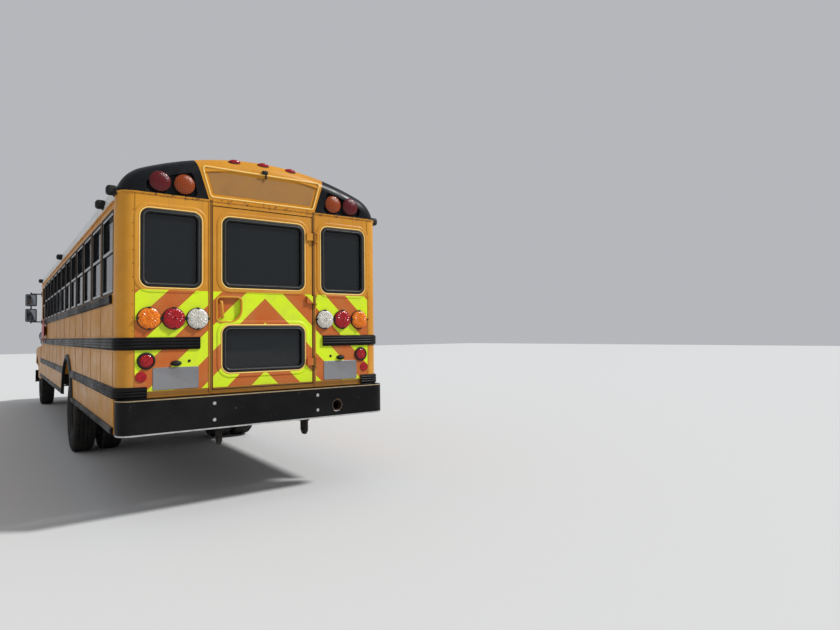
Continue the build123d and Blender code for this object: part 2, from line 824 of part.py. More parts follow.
def rail_outline(low, height):
    """A rail's section as (how proud, z) points, with sloping edges."""
    high = low + height
    slope = height * 0.14
    return [(0, low), (rail_proud, low + slope), (rail_proud, high - slope), (0, high)]


def rail_end_y(low):
    """Where a rail at this height stops at the front."""
    if low > window_low_z - driver_window_drop:
        return driver_window_y - 20
    if low < floor_low_z:
        return cowl_y - 40
    return cowl_y - front_corner - 10


def rub_rail_runs():
    """Every rub rail as its own solid, broken at the wheel arch and the entry door."""
    made = []
    across = (side_x - 1, side_x + 40)
    arch = wheel_arch(rear_axle_y, rear_arch_z, rear_arch_radius + 20, *across)
    doorway = block(across, (entry_rear_y - 45, entry_front_y + 45), (600, entry_high_z))
    for low, height, rear_y, wrap_x in rub_rails:
        outline = rail_outline(low, height)
        start = rear_face_y + corner_radius if wrap_x else rear_y
        face = Face(Wire.make_polygon([(side_x + x, start, z) for x, z in outline]))
        run = extrude(face, amount=rail_end_y(low) - start, dir=(0, 1, 0)).solid()
        if wrap_x:
            turn_x = side_x - corner_radius
            bend = Solid.revolve(face, -90, Axis((turn_x, start, 0), (0, 0, 1)))
            end = Face(Wire.make_polygon([(turn_x, rear_face_y - x, z) for x, z in outline]))
            run = fused([run, bend, extrude(end, amount=turn_x - wrap_x, dir=(-1, 0, 0)).solid()])
        run = run.cut(arch)
        right = [piece for piece in run.cut(doorway).solids() if piece.bounding_box().size.Y > 200]
        made += right + mirrored(run).solids()
    return made


def rear_bumper():
    """A pressed channel with round corners, and a hole for the tailpipe."""
    outer = bumper_block(0, rear_bumper_low_z, rear_bumper_high_z)
    inner = bumper_block(bumper_sheet, rear_bumper_low_z + bumper_sheet, rear_bumper_high_z - bumper_sheet)
    deep = bumper_block(bumper_flange, rear_bumper_low_z - 1, rear_bumper_high_z + 1)
    hole = rod((tailpipe_x, rear_end_y - 1, tailpipe_z), (0, 1, 0), pipe_hole_radius, 60)
    return outer.cut(inner, deep, hole).solid()


def bumper_block(inset, low, high):
    """The rear bumper's outline, moved in by inset."""
    half = side_x + 6 - inset
    deep_y = rear_end_y + rear_bumper_return + (1 if inset else 0)
    whole = block((-half, half), (rear_end_y + inset, deep_y), (low, high))
    edges = whole.edges().filter_by(Axis.Z).group_by(Axis.Y)[0]
    return fillet(edges, max(bumper_corner - inset, 5))


def front_bumper():
    """A sheet bent back round both corners."""
    solids = []
    for inset in (0, bumper_sheet):
        past = 1 if inset else 0
        half = side_x - inset
        whole = block(
            (-half, half), (front_end_y - front_bumper_return - past, front_end_y - inset),
            (front_bumper_low_z - past, front_bumper_high_z + past),
        )
        edges = whole.edges().filter_by(Axis.Z).group_by(Axis.Y)[-1]
        solids.append(fillet(edges, front_bumper_corner - inset))
    return solids[0].cut(solids[1]).solid()


# Ladder frame
rail_rear_y = rear_end_y + 80
rail_front_y = front_end_y - 200
cross_depth = 60
cross_pitch = 1420
seat_gap = 0.3  # between pieces that are bolted together
tow_eye_x = rail_half - 25
tow_eye_z = 620
tow_eye_thickness = 25
tow_eye_radius = 20
tow_eye_reach = 60

# Hood
hood_gap = 10
hood_rear_y = cowl_y + hood_gap
hood_front_y = front_end_y - 110
hood_wall = 18
hood_half_rear = 800
hood_half_front = 640
hood_low_z = 815
hood_rear_top_z = windshield_base_z + 20
hood_front_top_z = hood_rear_top_z - 260
fender_inner_x = rail_half + 130
fender_low_z = 650
hood_hinge_y = front_end_y - 125
hood_hinge_z = 775
hood_pin_radius = 14
hood_pin_inner_x = rail_half - 80
hood_pin_outer_x = rail_half + 10

# Engine, gearbox and radiator
engine_half = rail_half - 130
engine_rear_y = front_axle_y - 1065
engine_front_y = front_axle_y + 235
engine_low_z = rail_low_z - 130
engine_high_z = 1250
gearbox_length = 900
gearbox_radius = 190
gearbox_z = rail_low_z + 30
gearbox_rear_y = engine_rear_y - gearbox_length
radiator_depth = 100
radiator_half = 380


def chassis_frame():
    """Ladder frame: two channels that carry the rest, and the members bolted across between them."""
    inner_x = rail_half - rail_flange
    web_x = rail_half - rail_sheet
    top = rail_top_z
    channel = prism_y(
        [(rail_half, rail_low_z), (rail_half, top), (inner_x, top), (inner_x, top - rail_sheet),
         (web_x, top - rail_sheet), (web_x, rail_low_z + rail_sheet), (inner_x, rail_low_z + rail_sheet),
         (inner_x, rail_low_z)],
        rail_rear_y, rail_front_y,
    )
    bracket_y = (rail_front_y - 15, front_end_y - bumper_sheet)
    bracket = block((inner_x, rail_half), bracket_y, (front_bumper_low_z + 60, rail_low_z))
    stay_y = (rear_end_y + bumper_sheet, rail_rear_y + 1)
    stay = block((inner_x, rail_half), stay_y, (rear_bumper_low_z + 30, top - 10))
    post_x = (hood_pin_outer_x - 40, hood_pin_outer_x - 20)
    post = block(post_x, (hood_hinge_y - 22, hood_hinge_y + 22), (rail_low_z - 1, hood_hinge_z + 20))
    pin = rod((hood_pin_outer_x - 70, hood_hinge_y, hood_hinge_z), (1, 0, 0), hood_pin_radius, 80)
    side = fused([channel, bracket, stay, post, pin, tow_eye()])
    half = web_x - seat_gap
    across_z = (rail_low_z + 90, top - rail_sheet - seat_gap)
    members = [
        block((-half, half), (y - cross_depth / 2, y + cross_depth / 2), across_z)
        for y in cross_member_ys()
    ]
    return both_sides([side]) + members


def cross_member_ys():
    """Members at an even pitch behind the gearbox, and one under the radiator's front."""
    first = rail_rear_y + 235
    count = int((gearbox_rear_y - 150 - first) / cross_pitch) + 1
    return [first + i * cross_pitch for i in range(count)] + [engine_front_y + 260]


def tow_eye():
    """A lug under the rail's rear end, with a hole for a shackle pin."""
    x0 = tow_eye_x - tow_eye_thickness / 2
    y = rail_rear_y + tow_eye_reach
    low, top = tow_eye_z - tow_eye_reach, rail_low_z + 1
    bevel = tow_eye_reach * 0.6
    plate = prism_x(
        [(y - tow_eye_reach, top), (y - tow_eye_reach, low + bevel), (y - tow_eye_reach + bevel, low),
         (y + tow_eye_reach - bevel, low), (y + tow_eye_reach, low + bevel), (y + tow_eye_reach, top)],
        x0, x0 + tow_eye_thickness,
    )
    hole = rod((x0 - 1, y, tow_eye_z), (1, 0, 0), tow_eye_radius, tow_eye_thickness + 2)
    return plate.cut(hole)


# Axles, springs and steering
spring_width = 76
spring_leaf = 50
spring_half_length = 620
axle_seat_z = tyre_radius + 80
beam_low_z = tyre_radius - 130
beam_high_z = tyre_radius - 40
beam_half_depth = 45
kingpin_low_z = tyre_radius - 90
kingpin_high_z = tyre_radius + 80
kingpin_radius = 22
boss_radius = 42
knuckle_ear = 25
running_gap = 5
steer_arm = 200
arm_low_z = kingpin_low_z
arm_high_z = kingpin_low_z + 18
tie_rod_z = tyre_radius - 110
ball_radius = 14
spindle_radius = 40
rear_spindle_radius = 60
spindle_reach = 70  # past the middle of the front wheel
twin_spindle = 55  # past the middle of a twin wheel

# Wheels: discs, hubs and hand holes
rim_inner = rim_radius - rim_wall
disc_edge = rim_inner - 40
disc_thickness = 14
disc_offset = 43
hub_radius = 110
hub_cap = 40
twin_hub_half = 95
hand_hole_count = 5
hand_hole_place = 185
hand_hole_radius = 26


def leaf_springs():
    """Four stacked leaf springs with their hanger blocks under the rails."""
    made = []
    top = axle_seat_z + spring_leaf
    x = (rail_half - spring_width, rail_half)
    for y in (rear_axle_y, front_axle_y):
        end = spring_half_length
        pack = prism_x(
            [(y - end, top - 30), (y - 300, axle_seat_z), (y + 300, axle_seat_z), (y + end, top - 30),
             (y + end, top), (y + 300, axle_seat_z + 30), (y + 120, top), (y - 120, top),
             (y - 300, axle_seat_z + 30), (y - end, top)],
            *x,
        )
        hangers = [
            block(x, (y + at - 30, y + at + 30), (top - 20, rail_low_z))
            for at in (20 - end, end - 20)
        ]
        made += both_sides([fused([pack, *hangers])])
    return made


def front_axle():
    """A dropped beam with kingpin bosses and spring seats."""
    low, high = kingpin_low_z + knuckle_ear + running_gap, kingpin_high_z - knuckle_ear - running_gap
    drop_x, end_x = rail_half + 130, kingpin_x - 30
    outline = [
        (drop_x, beam_low_z), (end_x - 80, low), (end_x, low), (end_x, high), (end_x - 100, high - 20),
        (drop_x - 20, beam_high_z),
    ]
    flipped = [(-x, z) for x, z in reversed(outline)]
    beam = prism_y(outline + flipped, front_axle_y - beam_half_depth, front_axle_y + beam_half_depth)
    boss = flat_rod((kingpin_x, front_axle_y, low), (0, 0, 1), boss_radius - 3, high - low, 12)
    start = (kingpin_x, front_axle_y, low - 1)
    bore = rod(start, (0, 0, 1), kingpin_radius + pin_clearance, high - low + 2)
    seat = block(
        (rail_half - spring_width, rail_half), (front_axle_y - beam_half_depth, front_axle_y + beam_half_depth),
        (beam_high_z - 10, axle_seat_z),
    )
    whole = fused([beam, *both_sides([boss, seat])])
    return whole.cut(bore, mirrored(bore)).solid()


def knuckle():
    """The right steering knuckle: forked ears, kingpin, spindle and a steering arm that points back."""
    y = front_axle_y
    low, high = kingpin_low_z, kingpin_high_z
    pin = rod((kingpin_x, y, low), (0, 0, 1), kingpin_radius, high - low)
    back_x = (kingpin_x + boss_radius + running_gap, kingpin_x + boss_radius + 33)
    fork = prism_y(
        [(kingpin_x - 40, low), (back_x[1], low), (back_x[1], high), (kingpin_x - 40, high),
         (kingpin_x - 40, high - knuckle_ear), (back_x[0], high - knuckle_ear),
         (back_x[0], low + knuckle_ear), (kingpin_x - 40, low + knuckle_ear)],
        y - 40, y + 40,
    )
    reach = front_wheel_x + spindle_reach - back_x[1]
    spindle = rod((back_x[1] - 1, y, tyre_radius), (1, 0, 0), spindle_radius, reach + 1)
    arm = block((kingpin_x - 18, kingpin_x + 18), (y - steer_arm - 24, y - 20), (arm_low_z, arm_high_z))
    ball = rod((kingpin_x, y - steer_arm, tie_rod_z), (0, 0, 1), ball_radius, arm_high_z - tie_rod_z)
    return fused([fork, pin, spindle, arm, ball])


def tie_rod():
    """A bar between two eyes, each on the ball pin under a steering arm."""
    y = front_axle_y - steer_arm
    low, high = tie_rod_z - 8, arm_low_z - running_gap / 5
    start = (20 - kingpin_x, y, (low + high) / 2)
    bar = flat_rod(start, (1, 0, 0), (high - low) / 2 - 1, 2 * kingpin_x - 40, 8)
    eye = flat_rod((kingpin_x, y, low), (0, 0, 1), 28, high - low, 8)
    bore = rod((kingpin_x, y, low - 1), (0, 0, 1), ball_radius + pin_clearance, high - low + 2)
    return fused([bar, eye, mirrored(eye)]).cut(bore, mirrored(bore)).solid()


def tyre(x):
    """A tyre about the x axis at the right side: bead, sidewall, shoulder and tread."""
    half = tyre_width / 2
    side = [
        (rim_radius, half - 30), (tyre_radius - 130, half), (tyre_radius - 60, half - 3),
        (tyre_radius, half - 32),
    ]
    right = [(x + width, radius) for radius, width in side]
    left = [(x - width, radius) for radius, width in reversed(side)]
    return turned(right + left, wheel_sides)


def hand_holes(x0, x1):
    """The ring of holes through a wheel's disc, from x0 to x1."""
    holes = []
    for k in range(hand_hole_count):
        turn = 2 * pi * k / hand_hole_count
        start = (x0, hand_hole_place * cos(turn), hand_hole_place * sin(turn))
        holes.append(flat_rod(start, (1, 0, 0), hand_hole_radius, x1 - x0, 6))
    return holes


def hub_bore(start_x, end_x, radius):
    """The space for a spindle, closed at the hub's outer end."""
    return rod((start_x - 1, 0, 0), (1, 0, 0), radius + pin_clearance, end_x - start_x + 1)


def front_rim():
    """A steel wheel: barrel, disc set out towards the road, and hub."""
    x, half = front_wheel_x, rim_width / 2
    disc, disc_face = x + disc_offset, x + disc_offset + disc_thickness
    hub_back, hub_face = x - 10, x + spindle_reach + hub_cap
    profile = [
        (hub_face, hub_radius - 30), (hub_face - 30, hub_radius), (disc_face, hub_radius),
        (disc_face, disc_edge), (x + half, rim_inner), (x + half, rim_radius),
        (x - half, rim_radius), (x - half, rim_inner), (disc, rim_inner), (disc, hub_radius),
        (hub_back, hub_radius),
    ]
    wheel = turned(solid_to_axis(profile), wheel_sides)
    bore = hub_bore(hub_back, x + spindle_reach + running_gap, spindle_radius)
    wheel = wheel.cut(bore, *hand_holes(disc - 1, disc_face + 1))
    return Pos(0, front_axle_y, tyre_radius) * wheel.solid()


def rear_rims():
    """Both rims of a twin wheel, their discs face to face on one hub."""
    middle = (dual_outer_x + dual_inner_x) / 2
    half = rim_width / 2
    hub_back, hub_face = middle - twin_hub_half, middle + twin_hub_half
    disc = disc_thickness
    barrel = [
        (dual_outer_x - half + 30, rim_inner), (dual_outer_x + half, rim_inner),
        (dual_outer_x + half, rim_radius), (dual_outer_x - half, rim_radius),
    ]
    right = [(hub_face, hub_radius), (middle + disc, hub_radius), (middle + disc, disc_edge), *barrel]
    left = [(2 * middle - x, radius) for x, radius in reversed(right)]
    wheel = turned(solid_to_axis([*right, (middle, disc_edge), *left]), wheel_sides)
    bore = hub_bore(hub_back, middle + twin_spindle + running_gap, rear_spindle_radius)
    wheel = wheel.cut(bore, *hand_holes(middle - disc - 1, middle + disc + 1))
    return Pos(0, rear_axle_y, tyre_radius) * wheel.solid()


def rear_axle():
    """Tubular housing with its differential, spring seats and hub spindles."""
    y, z = rear_axle_y, tyre_radius
    reach = (dual_outer_x + dual_inner_x) / 2 + twin_spindle
    tube = rod((-reach, y, z), (1, 0, 0), rear_spindle_radius, 2 * reach)
    bowl = flat_rod((0, y - 100, z), (0, 1, 0), 190, 200, 16)
    nose = flat_rod((0, y + 90, z), (0, 1, 0), 90, 160, 12)
    seat_x = (rail_half - spring_width, rail_half)
    seat = block(seat_x, (y - 60, y + 60), (z, axle_seat_z))
    return fused([tube, bowl, nose, *both_sides([seat])])


def engine():
    """Engine as one plain block, with its gearbox behind it."""
    along = (engine_rear_y, engine_front_y)
    body = block((-engine_half, engine_half), along, (engine_low_z, engine_high_z))
    start = (0, gearbox_rear_y, gearbox_z)
    gearbox = flat_rod(start, (0, 1, 0), gearbox_radius, gearbox_length + 1, 12)
    mount_x = (engine_half - 1, rail_half - rail_sheet)
    mounts = [
        block(mount_x, (y, y + 80), (rail_low_z + rail_sheet, rail_low_z + 70))
        for y in (engine_rear_y + 300, engine_front_y - 250)
    ]
    return fused([body, gearbox, *both_sides(mounts)])


def driveshaft():
    """From the gearbox to the differential's nose."""
    start = Vector(0, gearbox_rear_y, gearbox_z)
    end = Vector(0, rear_axle_y + 250, tyre_radius)
    shaft = flat_rod(tuple(end), tuple(start - end), 50, (start - end).length, 12)
    return shaft.cut(engine(), rear_axle()).solid()


def radiator():
    along = (engine_front_y, engine_front_y + radiator_depth)
    return block((-radiator_half, radiator_half), along, (rail_top_z, engine_high_z + 10))


# Exhaust, outside the right rail
muffler_x = rail_half + 170
muffler_length = 1100
muffler_radius = 120
muffler_rear_y = entry_rear_y - 119 - muffler_length
muffler_front_y = muffler_rear_y + muffler_length
muffler_z = rail_low_z + 70
pipe_x = inner_tyre_x - 70
down_x = rail_half - 170
down_radius = 50
down_z = rail_low_z - 70


def exhaust():
    """Muffler and pipes, from beside the gearbox to the rear bumper."""
    start = (muffler_x, muffler_rear_y, muffler_z)
    muffler = flat_rod(start, (0, 1, 0), muffler_radius, muffler_length, 12)
    tail_route = [
        start, (muffler_x, muffler_rear_y - 300, muffler_z), (pipe_x, muffler_rear_y - 700, tailpipe_z),
        (pipe_x, rear_axle_y - 1000, tailpipe_z), (tailpipe_x, rear_axle_y - 1500, tailpipe_z),
        (tailpipe_x, rear_end_y, tailpipe_z),
    ]
    front = muffler_front_y
    down_route = [
        (muffler_x, front, muffler_z), (muffler_x, front + 200, muffler_z), (muffler_x, front + 450, down_z),
        (down_x, front + 900, down_z), (down_x, engine_rear_y, down_z),
    ]
    hangers = [
        block((rail_half, muffler_x), (y - 20, y + 20), (muffler_z - 12, muffler_z + 12))
        for y in (muffler_rear_y + 150, muffler_front_y - 200)
    ]
    hangers += [
        block((rail_half, x), (y - 20, y + 20), (tailpipe_z - 12, tailpipe_z + 12))
        for x, y in ((pipe_x, rear_axle_y + 1100), (tailpipe_x, rear_end_y + 1300))
    ]
    pipes = [pipe(tail_route, tailpipe_radius), pipe(down_route, down_radius)]
    return fused([muffler, *pipes, *hangers])


def pipe(route, radius):
    """A pipe of mitred straight runs."""
    path = Polyline(*route)
    section = Plane(route[0], z_dir=path % 0) * RegularPolygon(radius, 10, major_radius=False)
    return sweep(section, path=path, transition=Transition.RIGHT).solid()


# Fuel tank and battery box, outside the rails
tank_length = 1250
tank_front_y = muffler_rear_y - 450
tank_rear_y = tank_front_y - tank_length
tank_inner_x = rail_half + 230
tank_outer_x = side_x - 79
tank_low_z = rail_low_z - 150
tank_high_z = rail_top_z - 10
tank_corner = 60
battery_length = 600
battery_rear_y = entry_rear_y - 919
battery_low_z = rail_low_z - 50


def fuel_tank():
    """Tank outside the right rail, on two straps that hang from the frame."""
    tank = block((tank_inner_x, tank_outer_x), (tank_rear_y, tank_front_y), (tank_low_z, tank_high_z))
    tank = fillet(tank.edges().filter_by(Axis.Y), tank_corner)
    straps = [
        prism_y(
            [(rail_half, tank_low_z - 18), (tank_outer_x - 60, tank_low_z - 18),
             (tank_outer_x - 60, tank_low_z + 2), (rail_half + 18, tank_low_z + 2),
             (rail_half + 18, rail_low_z + 60), (rail_half, rail_low_z + 60)],
            y, y + 60,
        )
        for y in (tank_rear_y + 200, tank_front_y - 250)
    ]
    return fused([tank, *straps])


def battery_box():
    """A box outside the left rail, on two arms."""
    along = (battery_rear_y, battery_rear_y + battery_length)
    box = block((69 - side_x, -tank_inner_x), along, (battery_low_z, tank_high_z))
    arms = [
        block((-tank_inner_x - 1, -rail_half), (y, y + 50), (battery_low_z + 80, battery_low_z + 130))
        for y in (battery_rear_y + 100, battery_rear_y + 450)
    ]
    return fused([box, *arms])


# Seats
aisle_half = 184
seat_depth = 400
cushion_low_z = floor_z + 330
cushion_high_z = floor_z + 440
back_high_z = floor_z + 1050
back_thickness = 90
first_seat_y = rear_face_y + 260
driver_seat_y = driver_window_y - driver_window_drop
driver_seat_x = (-900, -420)
driver_seat_depth = 450
seat_run = driver_seat_y - 50 - back_thickness - seat_depth - first_seat_y
seat_rows = int(seat_run / window_pitch) + 1


def seat_places():
    """(rear y, on the left) of every bench."""
    places = []
    for row in range(seat_rows):
        y = first_seat_y + row * window_pitch
        places.append((y, True))
        if y + seat_depth + back_thickness < entry_rear_y - 250:
            places.append((y, False))
    return places


def bench_blocks(low_y, high_y, z, x):
    """The same block at every bench, its y counted from the bench's rear."""
    blocks = []
    for y, left in seat_places():
        made = block(x, (y + low_y, y + high_y), z)
        blocks.append(mirrored(made) if left else made)
    return blocks


def seat_cushions():
    z = (cushion_low_z, cushion_high_z)
    benches = bench_blocks(back_thickness, back_thickness + seat_depth, z, (aisle_half, body_inner_x))
    y = driver_seat_y + back_thickness
    return benches + [block(driver_seat_x, (y, y + driver_seat_depth), z)]


def seat_backs():
    benches = bench_blocks(0, back_thickness, (cushion_low_z, back_high_z), (aisle_half, body_inner_x))
    along = (driver_seat_y, driver_seat_y + back_thickness)
    return benches + [block(driver_seat_x, along, (cushion_low_z, back_high_z - 50))]


def seat_legs():
    z = (floor_z, cushion_low_z)
    legs = bench_blocks(60, seat_depth, z, (aisle_half + 60, aisle_half + 90))
    middle = (driver_seat_x[0] + driver_seat_x[1]) / 2
    return legs + [block((middle - 100, middle + 100), (driver_seat_y + 150, driver_seat_y + 450), z)]


# Driver's place
dash_top_z = windshield_base_z - 60
dash_depth = 330
dash_x = (-950, 450)
wheel_centre_x = (driver_seat_x[0] + driver_seat_x[1]) / 2
wheel_ring_radius = 220
wheel_rim = 14
wheel_lean = radians(50)


def dashboard():
    y = cowl_y - wall
    top = dash_top_z
    return prism_x(
        [(y, floor_z), (y, top), (y - 120, top), (y - dash_depth, top - 80), (y - dash_depth, top - 160),
         (y - 160, top - 310), (y - 160, floor_z)],
        *dash_x,
    )


def steering_wheel():
    """Ring, three spokes, hub and column, leaning back towards the driver."""
    centre = Vector(wheel_centre_x, cowl_y - wall - dash_depth - 40, dash_top_z)
    axis = Vector(0, -cos(wheel_lean), sin(wheel_lean))
    place = Plane(centre, z_dir=axis).location
    half = wheel_rim * 0.6
    outer, inner = wheel_ring_radius + wheel_rim, wheel_ring_radius - wheel_rim
    outline = [
        (-wheel_rim, wheel_ring_radius), (-half, outer), (half, outer), (wheel_rim, wheel_ring_radius),
        (half, inner), (-half, inner),
    ]
    ring = place * (Rot(0, -90, 0) * turned(outline, 20))
    hub = place * flat_rod((0, 0, -20), (0, 0, 1), 50, 30, 12)
    spokes = [
        place * (Rot(0, 0, turn) * block((0, wheel_ring_radius), (-15, 15), (-10, 2)))
        for turn in (0, 120, 240)
    ]
    column = flat_rod(tuple(centre - axis * 15), tuple(-axis), 28, 235, 8)
    return fused([ring, hub, *spokes, column]).cut(dashboard()).solid()


# Mirrors
mirror_y = cowl_y - 255
mirror_x = side_x + 191
mirror_heads = ((drip_z - 320, 250), (drip_z - 635, 270))  # z of the middle, height
mirror_width = 200
mirror_arm_zs = (drip_z - 780, drip_z - 200)


def mirrors():
    """A stack of two heads on a bent arm at each side."""
    x = (mirror_x - mirror_width / 2, mirror_x + mirror_width / 2)
    heads = [
        block(x, (mirror_y - 30, mirror_y + 30), (z - tall / 2, z + tall / 2))
        for z, tall in mirror_heads
    ]
    post_y = (mirror_y + 28, mirror_y + 56)
    post = block((mirror_x - 14, mirror_x + 14), post_y, (mirror_arm_zs[0] - 20, mirror_arm_zs[1] + 40))
    arms = [block((side_x, mirror_x), (mirror_y + 30, mirror_y + 48), (z, z + 24)) for z in mirror_arm_zs]
    return both_sides([fused([*heads, post, *arms])])


# Stop arm on the left side, below the driver's window
stop_arm_y = driver_window_y - 214
stop_arm_z = 1650
stop_blade = 229
stop_thickness = 14
stop_hinge_x = -side_x - 40
stop_hinge_y = stop_arm_y + 46
stop_pin_radius = 8


def stop_arm_base():
    """A gearbox on the side, with the arm's pin between two ears in front of it."""
    z = stop_arm_z
    base = block((-side_x - 30, -side_x), (stop_arm_y - 60, stop_arm_y + 25), (z - 90, z + 90))
    pin = rod((stop_hinge_x, stop_hinge_y, z - 80), (0, 0, 1), stop_pin_radius, 160)
    ear_x, ear_y = (stop_hinge_x - 10, -side_x), (stop_arm_y + 24, stop_hinge_y + 10)
    ears = [block(ear_x, ear_y, (low, low + 15)) for low in (z - 80, z + 65)]
    return fused([base, pin, *ears])


def stop_arm():
    """An eight-sided blade that lies back along the side and swings out about its front edge."""
    centre_y = stop_hinge_y - 120 - stop_blade
    x = stop_hinge_x - 4
    centre = (x, centre_y, stop_arm_z)
    blade = flat_rod(centre, (-1, 0, 0), stop_blade, stop_thickness, 8)
    strap_y = (centre_y + stop_blade - 10, stop_hinge_y)
    strap = block((x - stop_thickness, x), strap_y, (stop_arm_z - 60, stop_arm_z + 60))
    eye_z = (stop_arm_z - 64, stop_arm_z + 64)
    eye = block((stop_hinge_x - 18, stop_hinge_x + 12), (stop_hinge_y - 12, stop_hinge_y + 12), eye_z)
    bore = rod((stop_hinge_x, stop_hinge_y, eye_z[0] - 1), (0, 0, 1), stop_pin_radius + pin_clearance, 130)
    return fused([blade, strap, eye]).cut(bore).solid()


def hood_solid(inset):
    """The hood's outside, or its inside when inset: a tapering centre and two fenders."""
    past = 5 if inset else 0
    rear_y, front_y = hood_rear_y - past, hood_front_y - inset

    def centre_section(y, half, top):
        half, top, low = half - inset, top - inset, hood_low_z - past
        right = [(half, low), (half, top - 230), (half - 60, top - 70), (half - 190, top)]
        left = [(-x, z) for x, z in reversed(right)]
        return Face(Wire.make_polygon([(x, y, z) for x, z in right + left]))

    sections = [
        centre_section(rear_y, hood_half_rear, hood_rear_top_z),
        centre_section(front_y, hood_half_front, hood_front_top_z),
    ]
    centre = loft(sections, ruled=True)
    low = fender_low_z - past
    profile = [
        (rear_y, low), (front_y, low), (front_y, hood_front_top_z - 370),
        (front_y - 90, hood_front_top_z - 230 - inset), (front_axle_y + 250, hood_front_top_z - 110 - inset),
        (front_axle_y - 250, hood_front_top_z - 70 - inset), (rear_y, hood_front_top_z - 40 - inset),
    ]
    fender = prism_x(profile, fender_inner_x - past, side_x - inset).cut(fender_corner(inset))
    return fused([centre.solid(), fender, mirrored(fender)])


def fender_corner(inset):
    """What the fender's front outer corner loses in plan."""
    front_y = hood_front_y - inset
    half = side_x - inset
    outline = [
        (half - 420, front_y + 1), (half - 150, front_y - 70), (half, front_y - 320), (half + 1, front_y + 1),
    ]
    return prism_z(outline, 0, hood_rear_top_z)


grille_top_half = 480
grille_bottom_half = 420
grille_low_z = hood_low_z + 45
grille_high_z = hood_front_top_z - 110
grille_bar = 16
grille_pitch = 60


def grille_prism(inset, y0, y1):
    """The grille's outline, wider at the top, moved in by inset."""
    low, high = grille_low_z + inset, grille_high_z - inset
    bottom, top = grille_bottom_half - inset, grille_top_half - inset
    return prism_y([(-bottom, low), (bottom, low), (top, high), (-top, high)], y0, y1)


def hood():
    """The tilting hood with both fenders, open below and behind."""
    arch = wheel_arch(front_axle_y, tyre_radius, front_arch_radius, fender_inner_x - 30, side_x + 30)
    opening = grille_prism(0, hood_front_y - 60, hood_front_y + 5)
    shell = hood_solid(0).cut(hood_solid(hood_wall)).cut(arch, mirrored(arch), opening)
    ear_y = (hood_hinge_y - 22, hood_front_y - 2)
    ear_z = (hood_hinge_z - 22, hood_low_z + 40)
    ears = [block((x, x + 22), ear_y, ear_z) for x in (hood_pin_outer_x - 14, hood_pin_outer_x - 86)]
    start = (hood_pin_inner_x - 5, hood_hinge_y, hood_hinge_z)
    bore = rod(start, (1, 0, 0), hood_pin_radius + pin_clearance, hood_pin_outer_x - hood_pin_inner_x + 30)
    return fused([shell.solid(), *both_sides(ears)]).cut(bore, mirrored(bore)).solid()


def grille():
    """Frame and horizontal bars in the hood's front opening."""
    y = (hood_front_y - hood_wall, hood_front_y - 4)
    outline = grille_prism(0, *y)
    frame = outline.cut(grille_prism(30, y[0] - 1, y[1] + 1)).solid()
    count = int((grille_high_z - grille_low_z - 125) / grille_pitch) + 1
    lows = [grille_low_z + 75 + i * grille_pitch for i in range(count)]
    across = (-grille_top_half, grille_top_half)
    bars = [block(across, y, (z, z + grille_bar)).intersect(outline).solid() for z in lows]
    return fused([frame, *bars])


def headlamps():
    """One lamp in each fender's front face, its outer upper corner cut off."""
    z = hood_front_top_z
    lamp = prism_y(
        [(620, z - 440), (800, z - 440), (800, z - 330), (760, z - 280), (640, z - 280), (620, z - 300)],
        hood_front_y, hood_front_y + 20,
    )
    return both_sides([lamp])


def hood_mirrors():
    """A round-backed crossview mirror on a stalk at each fender."""
    base = (880, front_axle_y + 250, hood_front_top_z - 125)
    head = Vector(1020, front_axle_y + 420, hood_front_top_z + 180)
    stalk = head - Vector(*base)
    bar = flat_rod(base, tuple(stalk), 11, stalk.length, 8)
    profile = [(0, 150), (20, 150), (70, 70)]
    shell = Pos(*head) * (Rot(0, 0, 90) * turned(solid_to_axis(profile), 16))
    return both_sides([fused([bar, shell]).cut(hood_solid(0)).solid()])


